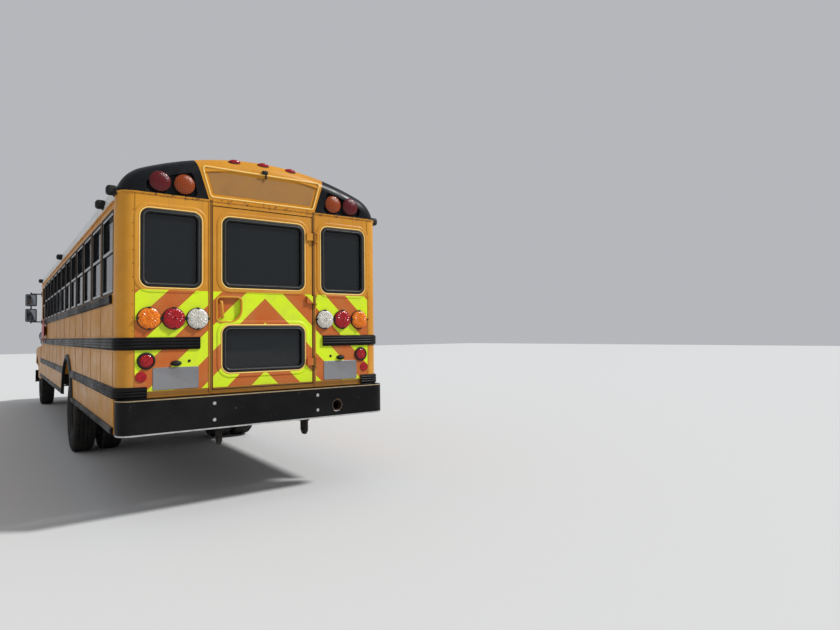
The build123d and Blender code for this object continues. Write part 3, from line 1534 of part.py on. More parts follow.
def build_nodes():
    """Every node's name with its solid, or its list of solids."""
    nodes = {
        "chassis_frame": chassis_frame(),
        "body_floor": body_floor(),
        "left_side": left_side(),
        "right_side": right_side(),
        "roof": roof(),
        "rear_wall": rear_wall_shell(),
        "rear_cap": end_cap(rear_face_y, 1),
        "front_wall": front_wall(),
        "front_cap": end_cap(front_cap_y, -1),
        "end_glass": end_glass(),
        "window_frames": side_windows(window_frame),
        "side_glass": side_windows(window_panes),
        "rub_rails": rub_rail_runs(),
        "rear_bumper": rear_bumper(),
        "front_bumper": front_bumper(),
        "red_lamps": red_lamps(),
        "amber_lamps": amber_lamps(),
        "clear_lamps": clear_lamps(),
        "mirrors": mirrors(),
        "seat_cushions": seat_cushions(),
        "seat_backs": seat_backs(),
        "seat_legs": seat_legs(),
        "dashboard": dashboard(),
        "steering_wheel": steering_wheel(),
        "stepwell": stepwell(),
        "engine": engine(),
        "radiator": radiator(),
        "driveshaft": driveshaft(),
        "front_axle": front_axle(),
        "rear_axle": rear_axle(),
        "leaf_springs": leaf_springs(),
        "fuel_tank": fuel_tank(),
        "battery_box": battery_box(),
        "exhaust": exhaust(),
        "stop_arm_base": stop_arm_base(),
        "stop_arm": stop_arm(),
        "rear_door": rear_door(),
        "rear_door_glass": rear_door_glass(),
        "rear_door_handle": rear_door_handle(),
        "entry_leaf_front": entry_leaf(True),
        "entry_glass_front": entry_leaf_glass(True),
        "entry_leaf_rear": entry_leaf(False),
        "entry_glass_rear": entry_leaf_glass(False),
        "rear_hatch_lid": hatch_lid(hatch_ys[0]),
        "front_hatch_lid": hatch_lid(hatch_ys[1]),
        "hood": hood(),
        "grille": grille(),
        "headlamps": headlamps(),
        "hood_mirrors": hood_mirrors(),
        "tie_rod": tie_rod(),
    }
    front_place, rear_place = Pos(0, front_axle_y, tyre_radius), Pos(0, rear_axle_y, tyre_radius)
    right_hand = {
        "knuckle": [knuckle()],
        "front_tyre": [front_place * tyre(front_wheel_x)],
        "front_rim": [front_rim()],
        "rear_tyres": [rear_place * tyre(x) for x in (dual_outer_x, dual_inner_x)],
        "rear_rims": [rear_rims()],
    }
    for name, shapes in right_hand.items():
        nodes["right_" + name] = shapes
        nodes["left_" + name] = [mirrored(shape) for shape in shapes]
    return nodes


def write(nodes):
    os.makedirs("parts", exist_ok=True)
    for name, shape in nodes.items():
        solids = []
        for piece in shape if isinstance(shape, list) else [shape]:
            solids += piece.solids()
        export_step(Compound(solids) if len(solids) > 1 else solids[0], f"parts/{name}.step")


write(build_nodes())
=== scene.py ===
"""Looks of the school bus. Metres, +X the bus's right, +Y its front, +Z up."""

import json
from math import acos, asin, atan2, copysign, cos, exp, hypot, pi, radians, sin, sqrt, tan

import bmesh
import bpy
import numpy as np
from mathutils import Matrix, Vector

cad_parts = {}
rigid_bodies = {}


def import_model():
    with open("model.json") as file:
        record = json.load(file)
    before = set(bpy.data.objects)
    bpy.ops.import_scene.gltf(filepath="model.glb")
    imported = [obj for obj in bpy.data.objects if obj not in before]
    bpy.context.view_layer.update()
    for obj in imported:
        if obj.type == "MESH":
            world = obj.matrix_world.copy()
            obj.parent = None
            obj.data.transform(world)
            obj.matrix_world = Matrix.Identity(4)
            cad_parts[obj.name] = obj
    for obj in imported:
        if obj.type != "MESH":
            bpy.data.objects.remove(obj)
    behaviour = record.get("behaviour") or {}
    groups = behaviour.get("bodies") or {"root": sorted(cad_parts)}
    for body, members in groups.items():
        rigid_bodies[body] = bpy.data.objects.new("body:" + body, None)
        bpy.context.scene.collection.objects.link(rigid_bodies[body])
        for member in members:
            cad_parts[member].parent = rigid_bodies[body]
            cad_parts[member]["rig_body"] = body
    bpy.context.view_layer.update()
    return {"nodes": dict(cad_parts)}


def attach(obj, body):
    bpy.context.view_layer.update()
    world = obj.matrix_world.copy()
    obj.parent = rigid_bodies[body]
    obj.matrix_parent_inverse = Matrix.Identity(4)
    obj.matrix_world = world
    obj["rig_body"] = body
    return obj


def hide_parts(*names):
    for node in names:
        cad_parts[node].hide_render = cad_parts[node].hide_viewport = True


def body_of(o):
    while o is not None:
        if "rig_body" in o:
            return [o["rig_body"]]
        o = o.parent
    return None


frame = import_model()
scene = bpy.context.scene
scene.view_settings.view_transform = "Standard"

# Sizes shared with the solids
side_x = 1.219
rear_face_y = -5.825
rear_end_y = -5.915
rear_axle_y = -1.945
front_axle_y = 5.065
front_cap_y = 3.6
tyre_radius = 0.51
roof_z = 3.12
cap_low_z = 2.69
corner_radius = 0.128
window_count = 12
window_pitch = 0.69
rear_post_y = -5.6415
shoulder_radius = 0.3
shoulder_rise = 0.48

# Directions
sides = (-1, 1)
rightward, forward, rearward, upward = (1, 0, 0), (0, 1, 0), (0, -1, 0), (0, 0, 1)


# Camera, solved from the photograph
def photo_camera():
    yaw, pitch, roll = radians(36.09), radians(1.91), radians(-0.67)
    place = (-1.993, -10.972, 1.498)
    focal_pixels, photo_width, sensor_width = 581.8, 840, 36
    look = Vector((sin(yaw) * cos(pitch), cos(yaw) * cos(pitch), sin(pitch)))
    level = Vector((cos(yaw), -sin(yaw), 0))
    up = level.cross(look)
    right = cos(roll) * level + sin(roll) * up
    top = -sin(roll) * level + cos(roll) * up
    turn = Matrix((right, top, -look)).transposed()
    data = bpy.data.cameras.new("photo_camera")
    data.sensor_width = sensor_width
    data.lens = focal_pixels / photo_width * sensor_width
    data.clip_end = 200
    cam = new_object("photo_camera", data)
    cam.matrix_world = Matrix.Translation(place) @ turn.to_4x4()
    scene.camera = cam


# Materials
class Maker:
    """One procedural material, with short calls for its nodes."""

    def __init__(self, name, colour, rough, metal=0.0, shine=0.5):
        self.mat = bpy.data.materials.new(name)
        self.mat.use_nodes = True
        self.tree = self.mat.node_tree
        self.shader = self.tree.nodes["Principled BSDF"]
        self.finish(Base_Color=(*colour, 1), Roughness=rough, Metallic=metal, Specular_IOR_Level=shine)
        self.place = None
        self.parts = None

    def link(self, value, socket):
        if hasattr(value, "is_output"):
            self.tree.links.new(value, socket)
        else:
            socket.default_value = value

    def feed(self, node, values):
        """Sets or links inputs by their names, written with _ for a space."""
        for name, value in values.items():
            self.link(value, node.inputs[name.replace("_", " ")])

    def finish(self, **values):
        self.feed(self.shader, values)

    def node(self, kind, settings=(), **values):
        node = self.tree.nodes.new("ShaderNode" + kind)
        for name, value in settings:
            setattr(node, name, value)
        self.feed(node, values)
        return node

    def where(self, stretch=None):
        """The place on the object, or that place stretched along the axes."""
        if self.place is None:
            self.place = self.node("TexCoord").outputs["Object"]
        if stretch is None:
            return self.place
        return self.node("Mapping", Vector=self.place, Scale=stretch).outputs["Vector"]

    def axis(self, index):
        if self.parts is None:
            self.parts = self.node("SeparateXYZ", Vector=self.where()).outputs
        return self.parts[index]

    def sum(self, kind, *values):
        node = self.node("Math", [("operation", kind)])
        for value, socket in zip((*values, 0.0, 0.0), node.inputs):
            self.link(value, socket)
        return node.outputs[0]

    def times(self, product, *values):
        for value in values:
            product = self.sum("MULTIPLY", product, value)
        return product

    def plus(self, a, b):
        return self.sum("ADD", a, b)

    def size(self, a):
        return self.sum("ABSOLUTE", a)

    def over(self, a, limit):
        return self.sum("GREATER_THAN", a, limit)

    def under(self, a, limit):
        return self.sum("LESS_THAN", a, limit)

    def ramp(self, value, low, high, out_low=0.0, out_high=1.0):
        """A smooth step between two values."""
        node = self.node(
            "MapRange", [("interpolation_type", "SMOOTHSTEP")],
            Value=value, From_Min=low, From_Max=high, To_Min=out_low, To_Max=out_high,
        )
        return node.outputs["Result"]

    def noise(self, scale, detail=4.0, rough=0.55, stretch=None):
        where = self.where(stretch)
        return self.node("TexNoise", Vector=where, Scale=scale, Detail=detail, Roughness=rough).outputs["Fac"]

    def mix(self, fac, *colours):
        node = self.node("Mix", [("data_type", "RGBA")], Factor=fac)
        for colour, name in zip(colours, "AB"):
            self.link(colour if hasattr(colour, "is_output") else (*colour, 1), node.inputs[name])
        return node.outputs["Result"]

    def bump(self, height, strength, distance):
        node = self.node("Bump", Height=height, Strength=strength, Distance=distance)
        self.finish(Normal=node.outputs["Normal"])


def chevrons(m, colour):
    """Lime and orange bands that lean towards the middle, on the rear face below the windows; painted shade
    at the door gaps and the sill.
    """
    band_high, fifth_band = 0.22, 2.284
    wide, high = m.size(m.axis(0)), m.axis(2)
    along = m.sum("SUBTRACT", m.plus(wide, high), fifth_band - 5 * band_high)
    step = m.sum("FLOOR", m.times(along, 1 / band_high))
    lime = m.size(m.sum("MODULO", step, 2.0))
    panel = m.times(m.over(wide, 0.51), m.under(wide, 1.088))
    across = m.plus(panel, m.under(wide, 0.467))
    field = m.times(m.over(high, 1.06), m.under(high, 1.893))
    face = m.under(m.axis(1), rear_face_y + 0.04)
    wear = m.ramp(m.noise(7, 6, 0.7), 0.35, 0.8, 0, 0.3)
    bands = m.mix(lime, (0.52, 0.115, 0.018), (0.66, 0.86, 0.012))
    bands = m.mix(wear, bands, (0.42, 0.3, 0.1))
    colour = m.mix(m.times(across, field, face), colour, bands)
    # Painted shade: the strips beside the door's edges and the sill below the bands are darkened as if
    # shadowed.
    gap = m.times(m.ramp(wide, 0.468, 0.474), m.ramp(wide, 0.502, 0.496))
    sill = m.times(m.ramp(high, 1.062, 1.052), 0.7)
    gap_and_sill_shade = m.sum("MAXIMUM", m.times(gap, 0.8), sill)
    return m.mix(m.times(gap_and_sill_shade, face), colour, (0.13, 0.055, 0.01))


def yellow_paint(name, black_zone=False, header_rust=False, banded=False, shine=0.3):
    """Sun-faded enamel with dust low down, streaks under edges and rust at the rear header."""
    m = Maker(name, (0.66, 0.29, 0.02), 0.4, shine=shine)
    height = m.axis(2)
    fade = m.ramp(m.noise(1.3, 3), 0.3, 0.7)
    mottle = m.ramp(m.noise(9, 5, 0.6), 0.45, 0.8, 0, 0.25)
    colour = m.mix(fade, (0.64, 0.283, 0.024), (0.54, 0.223, 0.017))
    colour = m.mix(mottle, colour, (0.72, 0.39, 0.07))
    streak = m.ramp(m.noise(1, 3, 0.5, (16, 16, 0.9)), 0.52, 0.75)
    low = m.ramp(height, 1.55, 0.75)
    dirt = m.times(streak, m.plus(m.times(low, 0.55), 0.14))
    dust = m.times(low, m.ramp(m.noise(3.5, 6, 0.7), 0.35, 0.75, 0, 0.4))
    colour = m.mix(dirt, colour, (0.3, 0.17, 0.055))
    colour = m.mix(dust, colour, (0.42, 0.29, 0.14))
    if header_rust:
        band = m.times(m.ramp(height, 2.655, 2.68), m.ramp(height, 2.715, 2.695))
        spots = m.ramp(m.noise(38, 4, 0.7), 0.54, 0.62)
        colour = m.mix(m.times(band, spots), colour, (0.16, 0.055, 0.02))
        runs = m.ramp(m.noise(1, 3, 0.6, (42, 42, 1.3)), 0.55, 0.75)
        fall = m.times(m.ramp(height, 2.3, 2.68), m.ramp(height, 2.7, 2.68))
        colour = m.mix(m.times(m.times(runs, fall), 0.5), colour, (0.3, 0.12, 0.03))
    rough = m.plus(m.ramp(m.noise(5, 5), 0.3, 0.8, 0.28, 0.5), m.times(dirt, 0.3))
    if black_zone:
        slope = 0.314
        edge = m.sum("MULTIPLY_ADD", height, slope, 0.5 - slope * cap_low_z)
        grey = m.mix(m.ramp(m.noise(6, 5, 0.65), 0.35, 0.8), (0.004, 0.0045, 0.006), (0.012, 0.012, 0.014))
        colour = m.mix(m.over(m.size(m.axis(0)), edge), colour, grey)
    if banded:
        colour = chevrons(m, colour)
    m.finish(Base_Color=colour, Roughness=rough)
    m.bump(m.noise(2.2, 2), 0.25, 0.006)
    return m.mat


def worn_paint(name, colour, dusty, rough, scale, wear=None, metal=0.0, shine=0.3):
    """Plain paint with dust, scuffs and an uneven sheen."""
    m = Maker(name, colour, rough, metal, shine)
    cloud = m.noise(scale, 6, 0.65)
    out = m.mix(m.ramp(cloud, 0.35, 0.8, 0, 0.7), colour, dusty)
    if wear:
        out = m.mix(m.ramp(m.noise(scale * 6, 8, 0.75), 0.62, 0.7), out, wear)
    m.finish(Base_Color=out, Roughness=m.ramp(cloud, 0.3, 0.8, rough - 0.1, rough + 0.2))
    m.bump(m.noise(scale * 12, 4), 0.15, 0.001)
    return m.mat


def window_glass(name):
    """Dark tinted glass with a faint film of dust."""
    m = Maker(name, (0.035, 0.043, 0.048), 0.03, shine=0.2)
    film = m.ramp(m.noise(4, 5, 0.6), 0.35, 0.8, 0.02, 0.16)
    m.finish(Roughness=film, Transmission_Weight=0.72, IOR=1.45)
    return m.mat


def lens_plastic(name, colour, deep, grid=False):
    """Moulded lamp lens: coloured, glossy, with small optic cells."""
    m = Maker(name, colour, 0.24, shine=0.3)
    if grid:
        cells = m.times(*(m.size(m.sum("SINE", m.times(m.axis(i), 240.0))) for i in (0, 2)))
    else:
        cells = m.node("TexVoronoi", Vector=m.where(), Scale=75).outputs["Distance"]
    m.finish(Base_Color=m.mix(m.ramp(cells, 0.0, 0.7), colour, deep), Coat_Weight=0.12, Coat_Roughness=0.08)
    m.bump(cells, 0.5, 0.002)
    return m.mat


def window_frame_metal(name):
    """Aluminium bars, bright on their outward faces, with painted shade that makes their reveals near-black.
    """
    m = Maker(name, (0.5, 0.5, 0.5), 0.42, 0.6, 0.3)
    normal = m.node("NewGeometry").outputs["True Normal"]
    outward = m.ramp(m.size(m.node("SeparateXYZ", Vector=normal).outputs[0]), 0.4, 0.8)
    metal = m.mix(m.ramp(m.noise(9, 5, 0.65), 0.35, 0.8), (0.52, 0.53, 0.53), (0.3, 0.3, 0.3))
    # Painted shade: faces that do not look sideways, the reveals, get a near-black colour.
    colour = m.mix(outward, (0.018, 0.018, 0.019), metal)
    m.finish(Base_Color=colour, Roughness=m.ramp(m.noise(14, 4), 0.3, 0.8, 0.34, 0.55))
    m.bump(m.noise(90, 3), 0.1, 0.001)
    return m.mat


# Look: name, colour, dusty colour, roughness, fineness of the dust, colour of scuffs, metal, shine
paints = {
    # A lighter yellow that is a painted highlight, for raised edges that catch the sun.
    "highlight_yellow": ("painted_highlight_yellow_paint", (0.95, 0.64, 0.2), (0.84, 0.48, 0.1), 0.4, 14),
    "sign": ("sign_sheet_film", (0.36, 0.175, 0.045), (0.25, 0.125, 0.035), 0.5, 5),
    "white": ("roof_white_paint", (0.74, 0.75, 0.74), (0.5, 0.49, 0.46), 0.4, 2.2),
    "rail": ("rail_black_paint", (0.005, 0.005, 0.006), (0.017, 0.017, 0.017), 0.38, 2.5, None, 0.0, 0.12),
    "bumper": (
        "bumper_paint", (0.0055, 0.0055, 0.006), (0.015, 0.015, 0.014), 0.42, 3, (0.05,) * 3, 0.0, 0.1,
    ),
    "edge_wear": ("worn_edge_metal", (0.55, 0.55, 0.54), (0.16, 0.16, 0.15), 0.4, 14, None, 0.6),
    # A light tan that is a painted sunlit highlight, for the bumper's top ledge.
    "ledge": ("ledge_highlight_paint", (0.4, 0.31, 0.19), (0.24, 0.17, 0.09), 0.6, 14),
    "trim": ("trim_black", (0.008, 0.008, 0.009), (0.028, 0.028, 0.027), 0.5, 8),
    "seam": ("seam_shadow_paint", (0.27, 0.115, 0.012), (0.36, 0.165, 0.025), 0.7, 9, None, 0.0, 0.1),
    "rubber": ("seal_rubber", (0.007, 0.007, 0.007), (0.022, 0.022, 0.021), 0.6, 12),
    "chassis": (
        "chassis_paint", (0.01, 0.01, 0.01), (0.05, 0.042, 0.032), 0.7, 4, (0.08, 0.038, 0.016), 0.0, 0.2,
    ),
    "engine": ("engine_metal", (0.1, 0.105, 0.11), (0.06, 0.045, 0.03), 0.6, 7),
    "radiator": ("radiator_metal", (0.16, 0.165, 0.17), (0.1, 0.09, 0.07), 0.55, 10, None, 0.6),
    "exhaust": ("exhaust_metal", (0.06, 0.045, 0.036), (0.09, 0.035, 0.016), 0.7, 8, None, 0.4),
    "vinyl": ("seat_vinyl_skin", (0.012, 0.022, 0.035), (0.03, 0.04, 0.05), 0.45, 14, None, 0.0, 0.45),
    "plate": ("plate_metal", (0.24, 0.24, 0.25), (0.18, 0.175, 0.17), 0.45, 5, (0.28,) * 3, 0.3),
    "bright": ("bright_metal", (0.62, 0.62, 0.6), (0.35, 0.33, 0.3), 0.3, 20, None, 0.9),
    "strip": ("seal_strip_metal", (0.1, 0.1, 0.1), (0.05, 0.05, 0.05), 0.4, 20, None, 0.3),
    "mirror": ("mirror_metal", (0.3, 0.32, 0.36), (0.24, 0.25, 0.27), 0.12, 3, None, 1.0),
    "border": ("white_border_paint", (0.8, 0.8, 0.79), (0.6, 0.58, 0.55), 0.4, 8),
    "sign_red": ("sign_red_paint", (0.5, 0.012, 0.012), (0.42, 0.03, 0.03), 0.35, 5),
    "tyre": ("tyre_rubber", (0.014, 0.014, 0.014), (0.06, 0.053, 0.043), 0.8, 9, None, 0.0, 0.2),
    "rim": ("rim_paint", (0.018, 0.018, 0.019), (0.075, 0.062, 0.048), 0.5, 7, (0.14, 0.09, 0.05)),
}

# Look: name, colour, deep colour, moulded grid
plastics = {
    "red": ("lens_red", (0.56, 0.008, 0.018), (0.26, 0.003, 0.007)),
    "amber": ("lens_amber", (0.95, 0.3, 0.008), (0.66, 0.13, 0.004)),
    "clear": ("lens_clear", (0.8, 0.78, 0.7), (0.48, 0.46, 0.4)),
    "warning_red": ("warning_lens_red", (0.15, 0.003, 0.006), (0.045, 0.001, 0.002), True),
    "warning_amber": ("warning_lens_amber", (0.36, 0.06, 0.004), (0.14, 0.018, 0.001), True),
}

materials = {}


def build_materials():
    materials["yellow"] = yellow_paint("yellow_paint", shine=0.12)
    materials["yellow_plain"] = yellow_paint("yellow_trim_paint")
    materials["yellow_rear"] = yellow_paint("yellow_rear_paint", header_rust=True, banded=True)
    materials["yellow_cap"] = yellow_paint("yellow_cap_paint", black_zone=True, header_rust=True, shine=0.16)
    materials["glass"] = window_glass("tinted_glass")
    materials["aluminium"] = window_frame_metal("window_aluminium_metal")
    for look, row in paints.items():
        materials[look] = worn_paint(*row)
    for look, row in plastics.items():
        materials[look] = lens_plastic(*row)


# Look: the solids that wear it
node_looks = {
    "chassis": "chassis_frame body_floor seat_legs stepwell driveshaft front_axle rear_axle leaf_springs"
    " fuel_tank battery_box tie_rod left_knuckle right_knuckle",
    "yellow": "left_side right_side front_wall rear_door_handle entry_leaf_front entry_leaf_rear hood",
    "yellow_rear": "rear_wall rear_door",
    "yellow_cap": "rear_cap front_cap",
    "white": "roof rear_hatch_lid front_hatch_lid",
    "glass": "end_glass side_glass rear_door_glass entry_glass_front entry_glass_rear",
    "aluminium": "window_frames",
    "rail": "rub_rails",
    "bumper": "rear_bumper front_bumper",
    "red": "red_lamps",
    "amber": "amber_lamps",
    "clear": "clear_lamps headlamps",
    "trim": "mirrors dashboard steering_wheel stop_arm_base grille hood_mirrors",
    "vinyl": "seat_cushions seat_backs",
    "engine": "engine",
    "radiator": "radiator",
    "exhaust": "exhaust",
    "sign_red": "stop_arm",
    "tyre": "left_front_tyre right_front_tyre left_rear_tyres right_rear_tyres",
    "rim": "left_front_rim right_front_rim left_rear_rims right_rear_rims",
}


def dress_nodes():
    for look, nodes in node_looks.items():
        for node in nodes.split():
            obj = frame["nodes"][node]
            for slot in obj.material_slots:
                slot.material = materials[look]
            if not obj.material_slots:
                obj.data.materials.append(materials[look])


# Pieces and their shapes
def new_object(name, data):
    obj = bpy.data.objects.new(name, data)
    scene.collection.objects.link(obj)
    return obj


def new_mesh(name, shape, weld=False):
    """A shape's mesh with its faces turned outward; weld joins points that coincide."""
    mesh = bpy.data.meshes.new(name)
    mesh.from_pydata(shape.verts, [], shape.faces)
    bm = bmesh.new()
    bm.from_mesh(mesh)
    if weld:
        bmesh.ops.remove_doubles(bm, verts=bm.verts, dist=1e-6)
    bmesh.ops.recalc_face_normals(bm, faces=bm.faces)
    bm.to_mesh(mesh)
    bm.free()
    return mesh


def dressed(name, mesh, look, body, angle, stands_for=None):
    """An object that rides on a body, smooth up to an angle, and stands for a solid where one is named."""
    obj = new_object(name, mesh)
    mesh.materials.append(materials[look])
    if angle:
        for poly in mesh.polygons:
            poly.use_smooth = True
        obj.modifiers.new("edges", "EDGE_SPLIT").split_angle = radians(angle)
    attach(obj, body)
    if stands_for:
        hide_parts(stands_for)
    return obj


def piece(name, shape, look, body="bus_body", stands_for=None, angle=40):
    return dressed(name, new_mesh(name, shape), look, body, angle, stands_for)


def placed(name, mesh, matrix, look, body, angle, stands_for=None):
    """A piece from a copy of a mesh, put in place by a matrix."""
    mesh = mesh.copy()
    mesh.transform(matrix)
    return dressed(name, mesh, look, body, angle, stands_for)


def carved(mesh, cutters):
    """A mesh with the closed forms of a shape taken away."""
    obj = new_object("whole", mesh)
    cutter = new_object("cutters", new_mesh("cutters", cutters, weld=True))
    cut = obj.modifiers.new("cut", "BOOLEAN")
    cut.operation = "DIFFERENCE"
    cut.solver = "EXACT"
    cut.object = cutter
    bpy.context.view_layer.update()
    made = bpy.data.meshes.new_from_object(obj.evaluated_get(bpy.context.evaluated_depsgraph_get()))
    bpy.data.objects.remove(obj)
    bpy.data.objects.remove(cutter)
    return made


def turns(count):
    return [2 * pi * k / count for k in range(count)]


def square_to(way):
    """Two directions at right angles to a third and to each other."""
    side = way.orthogonal().normalized()
    return side, way.cross(side)


def circle(centre, side, other, radius, count):
    return [centre + (side * cos(t) + other * sin(t)) * radius for t in turns(count)]


class Shape:
    """Gathers vertices and faces of many small forms into one mesh."""

    def __init__(self, verts=(), faces=()):
        self.verts = list(verts)
        self.faces = list(faces)

    def add(self, verts, faces):
        base = len(self.verts)
        self.verts += [tuple(v) for v in verts]
        self.faces += [tuple(base + i for i in f) for f in faces]

    def loft(self, rings, cap=False):
        """Skins between closed rings of equal length, each a list of points."""
        count = len(rings[0])
        end = (len(rings) - 1) * count
        faces = []
        for base in range(0, end, count):
            for i in range(count):
                j = (i + 1) % count
                faces.append((base + i, base + j, base + count + j, base + count + i))
        if cap:
            faces += [tuple(range(count)), tuple(range(end, end + count))]
        self.add([p for ring in rings for p in ring], faces)

    def loop(self, rings):
        """Skins between rings and from the last back to the first."""
        self.loft(rings + [rings[0]])

    def box(self, low, high):
        verts = [(x, y, z) for x in (low[0], high[0]) for y in (low[1], high[1]) for z in (low[2], high[2])]
        faces = [(0, 1, 3, 2), (4, 6, 7, 5), (0, 4, 5, 1), (2, 3, 7, 6), (0, 2, 6, 4), (1, 5, 7, 3)]
        self.add(verts, faces)

    def revolve(self, centre, axis, profile, count=32):
        """profile is (radius, along) pairs from the centre along the axis."""
        centre, axis = Vector(centre), Vector(axis).normalized()
        across = square_to(axis)
        rings = [circle(centre + axis * along, *across, radius, count) for radius, along in profile]
        self.loft(rings, cap=True)


def rivets(shape, points, radius, proud, normal=rearward):
    """Low domes at each point."""
    for point in points:
        dome = ((radius, -0.0005), (radius * 0.8, proud * 0.7), (radius * 0.35, proud))
        shape.revolve(point, normal, dome, 8)


def ellipsoid(shape, centre, half_x, half_up, rise, up=upward, out=rearward, steps=8, count=32):
    """A domed oval on a face whose upward direction is up and whose outward one is out."""
    centre, up, out = Vector(centre), Vector(up).normalized(), Vector(out).normalized()
    rows = []
    for i in range(steps + 1):
        lean = pi / 2 * 0.97 * i / steps
        level, high = cos(lean), sin(lean) * rise
        rows.append([
            centre + Vector((half_x * level * cos(t), 0, 0)) + up * (half_up * level * sin(t)) + out * high
            for t in turns(count)
        ])
    below = [p - out * 0.01 for p in rows[0]]
    shape.loft([below] + rows, cap=True)


def rounded_box(shape, centre, size, radius, steps=3):
    """A box with all its edges rounded; size holds whole lengths."""
    cx, cy, cz = centre
    hx, hy, hz = (s / 2 for s in size)
    radius = min(radius, hx * 0.98, hy * 0.98, hz * 0.98)
    leans = [pi / 2 * i / steps for i in range(steps + 1)]
    levels = [(-hz + radius * (1 - cos(lean)), radius * (1 - sin(lean))) for lean in leans]
    levels += [(-z, inset) for z, inset in reversed(levels)]
    rings = []
    for z, inset in levels:
        ring = []
        r = radius - inset
        for sx, sy, start in ((1, 1, 0), (-1, 1, 90), (-1, -1, 180), (1, -1, 270)):
            x, y = cx + sx * (hx - radius), cy + sy * (hy - radius)
            for i in range(steps + 1):
                t = radians(start + 90 * i / steps)
                ring.append((x + r * cos(t), y + r * sin(t), cz + z))
        rings.append(ring)
    shape.loft(rings, cap=True)


def pole(shape, points, radius, count=14):
    """A round bar along points, with plain mitred bends."""
    points = [Vector(p) for p in points]
    rings = []
    for i, p in enumerate(points):
        ahead = (points[min(i + 1, len(points) - 1)] - points[max(i - 1, 0)]).normalized()
        side = ahead.orthogonal().normalized() if i == 0 else (side - ahead * side.dot(ahead)).normalized()
        rings.append(circle(p, side, ahead.cross(side), radius, count))
    shape.loft(rings, cap=True)


def oblong(x, z):
    """The corners of a rectangle from two (low, high) pairs."""
    return ((x[0], z[0]), (x[1], z[0]), (x[1], z[1]), (x[0], z[1]))


def rounded_path(a, b, radius, steps=8):
    """Points and outward directions round a rectangle of two (low, high) pairs, evenly turned."""
    points = []
    for x, z, start in ((a[1], b[1], 0), (a[0], b[1], 90), (a[0], b[0], 180), (a[1], b[0], 270)):
        cx = x - radius if start in (0, 270) else x + radius
        cz = z - radius if start in (0, 90) else z + radius
        for i in range(steps + 1):
            turn = radians(start + 90 * i / steps)
            points.append((cx + radius * cos(turn), cz + radius * sin(turn), cos(turn), sin(turn)))
    return points


def rounded_loop(corners, radius, steps=6):
    """Points and outward directions round a convex outline with its corners rounded."""
    points = []
    count = len(corners)
    for i, corner in enumerate(corners):
        here = Vector(corner)
        back = (Vector(corners[i - 1]) - here).normalized()
        ahead = (Vector(corners[(i + 1) % count]) - here).normalized()
        half = acos(max(-1, min(1, back.dot(ahead)))) / 2
        centre = here + (back + ahead).normalized() * radius / sin(half)
        first = here + back * radius / tan(half) - centre
        last = here + ahead * radius / tan(half) - centre
        for k in range(steps + 1):
            way = first.lerp(last, k / steps).normalized()
            points.append((*(centre + way * radius), *way))
    return points


def inset_loop(corners, radius, inset, steps=6):
    """rounded_loop of an outline moved in by inset, with the same number of points."""
    count = len(corners)
    middle = sum((Vector(c) for c in corners), Vector((0, 0))) / count
    lines = []
    for i in range(count):
        a, b = Vector(corners[i]), Vector(corners[(i + 1) % count])
        normal = Vector((b.y - a.y, a.x - b.x)).normalized()
        if normal.dot(middle - a) < 0:
            normal = -normal
        lines.append((a + normal * inset, (b - a).normalized()))
    moved = []
    for i in range(count):
        (p, d), (q, e) = lines[i - 1], lines[i]
        t = ((q.x - p.x) * e.y - (q.y - p.y) * e.x) / (d.x * e.y - d.y * e.x)
        moved.append(p + d * t)
    return rounded_loop(moved, max(radius - inset, 0.0015), steps)


def loop_rows(corners, radius, rows, place, steps=6):
    """Rings of points for (proud, inset) pairs of one outline, whose corners get sharper inward."""
    return [
        [place(u, v, proud) for u, v, nu, nv in inset_loop(corners, radius, inset, steps)]
        for proud, inset in rows
    ]


def stacked(loop, rows, place):
    """Rings of points for (proud, inset) pairs of one loop, moved straight in."""
    return [[place(u - nu * inset, v - nv * inset, proud) for u, v, nu, nv in loop] for proud, inset in rows]


def loop_ring(shape, loop, profile, place):
    """A bead swept along a loop. profile holds (outward, proud) pairs, and place turns
    (first axis, second axis, proud) into a point."""
    rings = [[place(u + nu * out, v + nv * out, proud) for out, proud in profile] for u, v, nu, nv in loop]
    shape.loop(rings)


def bead(width, depth, shift=0.0, lift=0.0, steps=6):
    """A half-round profile across a seam as (outward, proud) pairs, moved outward and up."""
    points = []
    for i in range(steps + 1):
        turn = pi * i / steps
        points.append((-width / 2 * cos(turn), depth * sin(turn)))
    points += [(width / 2, -0.004), (-width / 2, -0.004)]
    return [(out + shift, proud + lift) for out, proud in points]


def on_rear(u, v, proud):
    return (u, rear_face_y - proud, v)


def on_windshield(u, v, proud):
    foot_y, foot_z, slope = 3.75, 1.62, 0.1402
    return (u, foot_y - (v - foot_z) * slope + proud, v)


def window_trim(name, windows, radius, body, place, flange=True):
    """The pressed flange and its lip, the rubber seal and the grey locking strip round each window; the lip's
    lighter yellow is a painted highlight.
    """
    parts = [
        ("flange", "yellow_rear", bead(0.036, 0.006, 0.042)),
        ("lip", "highlight_yellow", bead(0.014, 0.009, 0.019)),
        ("seal", "rubber", bead(0.04, 0.012, -0.006)),
        ("strip", "strip", bead(0.007, 0.005, -0.012, 0.0105)),
    ]
    for part, look, profile in parts if flange else parts[2:]:
        shape = Shape()
        for a, b in windows:
            loop_ring(shape, rounded_path(a, b, radius), profile, place)
        piece(f"{name}_{part}", shape, look, body)


# Strips along the body
def swept(shape, path, profile):
    """A profile of (proud, z) points swept along (x, y, outward x, outward y) points, closed at both ends."""
    rings = [[(x + nx * proud, y + ny * proud, z) for proud, z in profile] for x, y, nx, ny in path]
    shape.loft(rings, cap=True)


def side_path(y_front, y_rear, side):
    return [(side * side_x, y_front, side, 0), (side * side_x, y_rear, side, 0)]


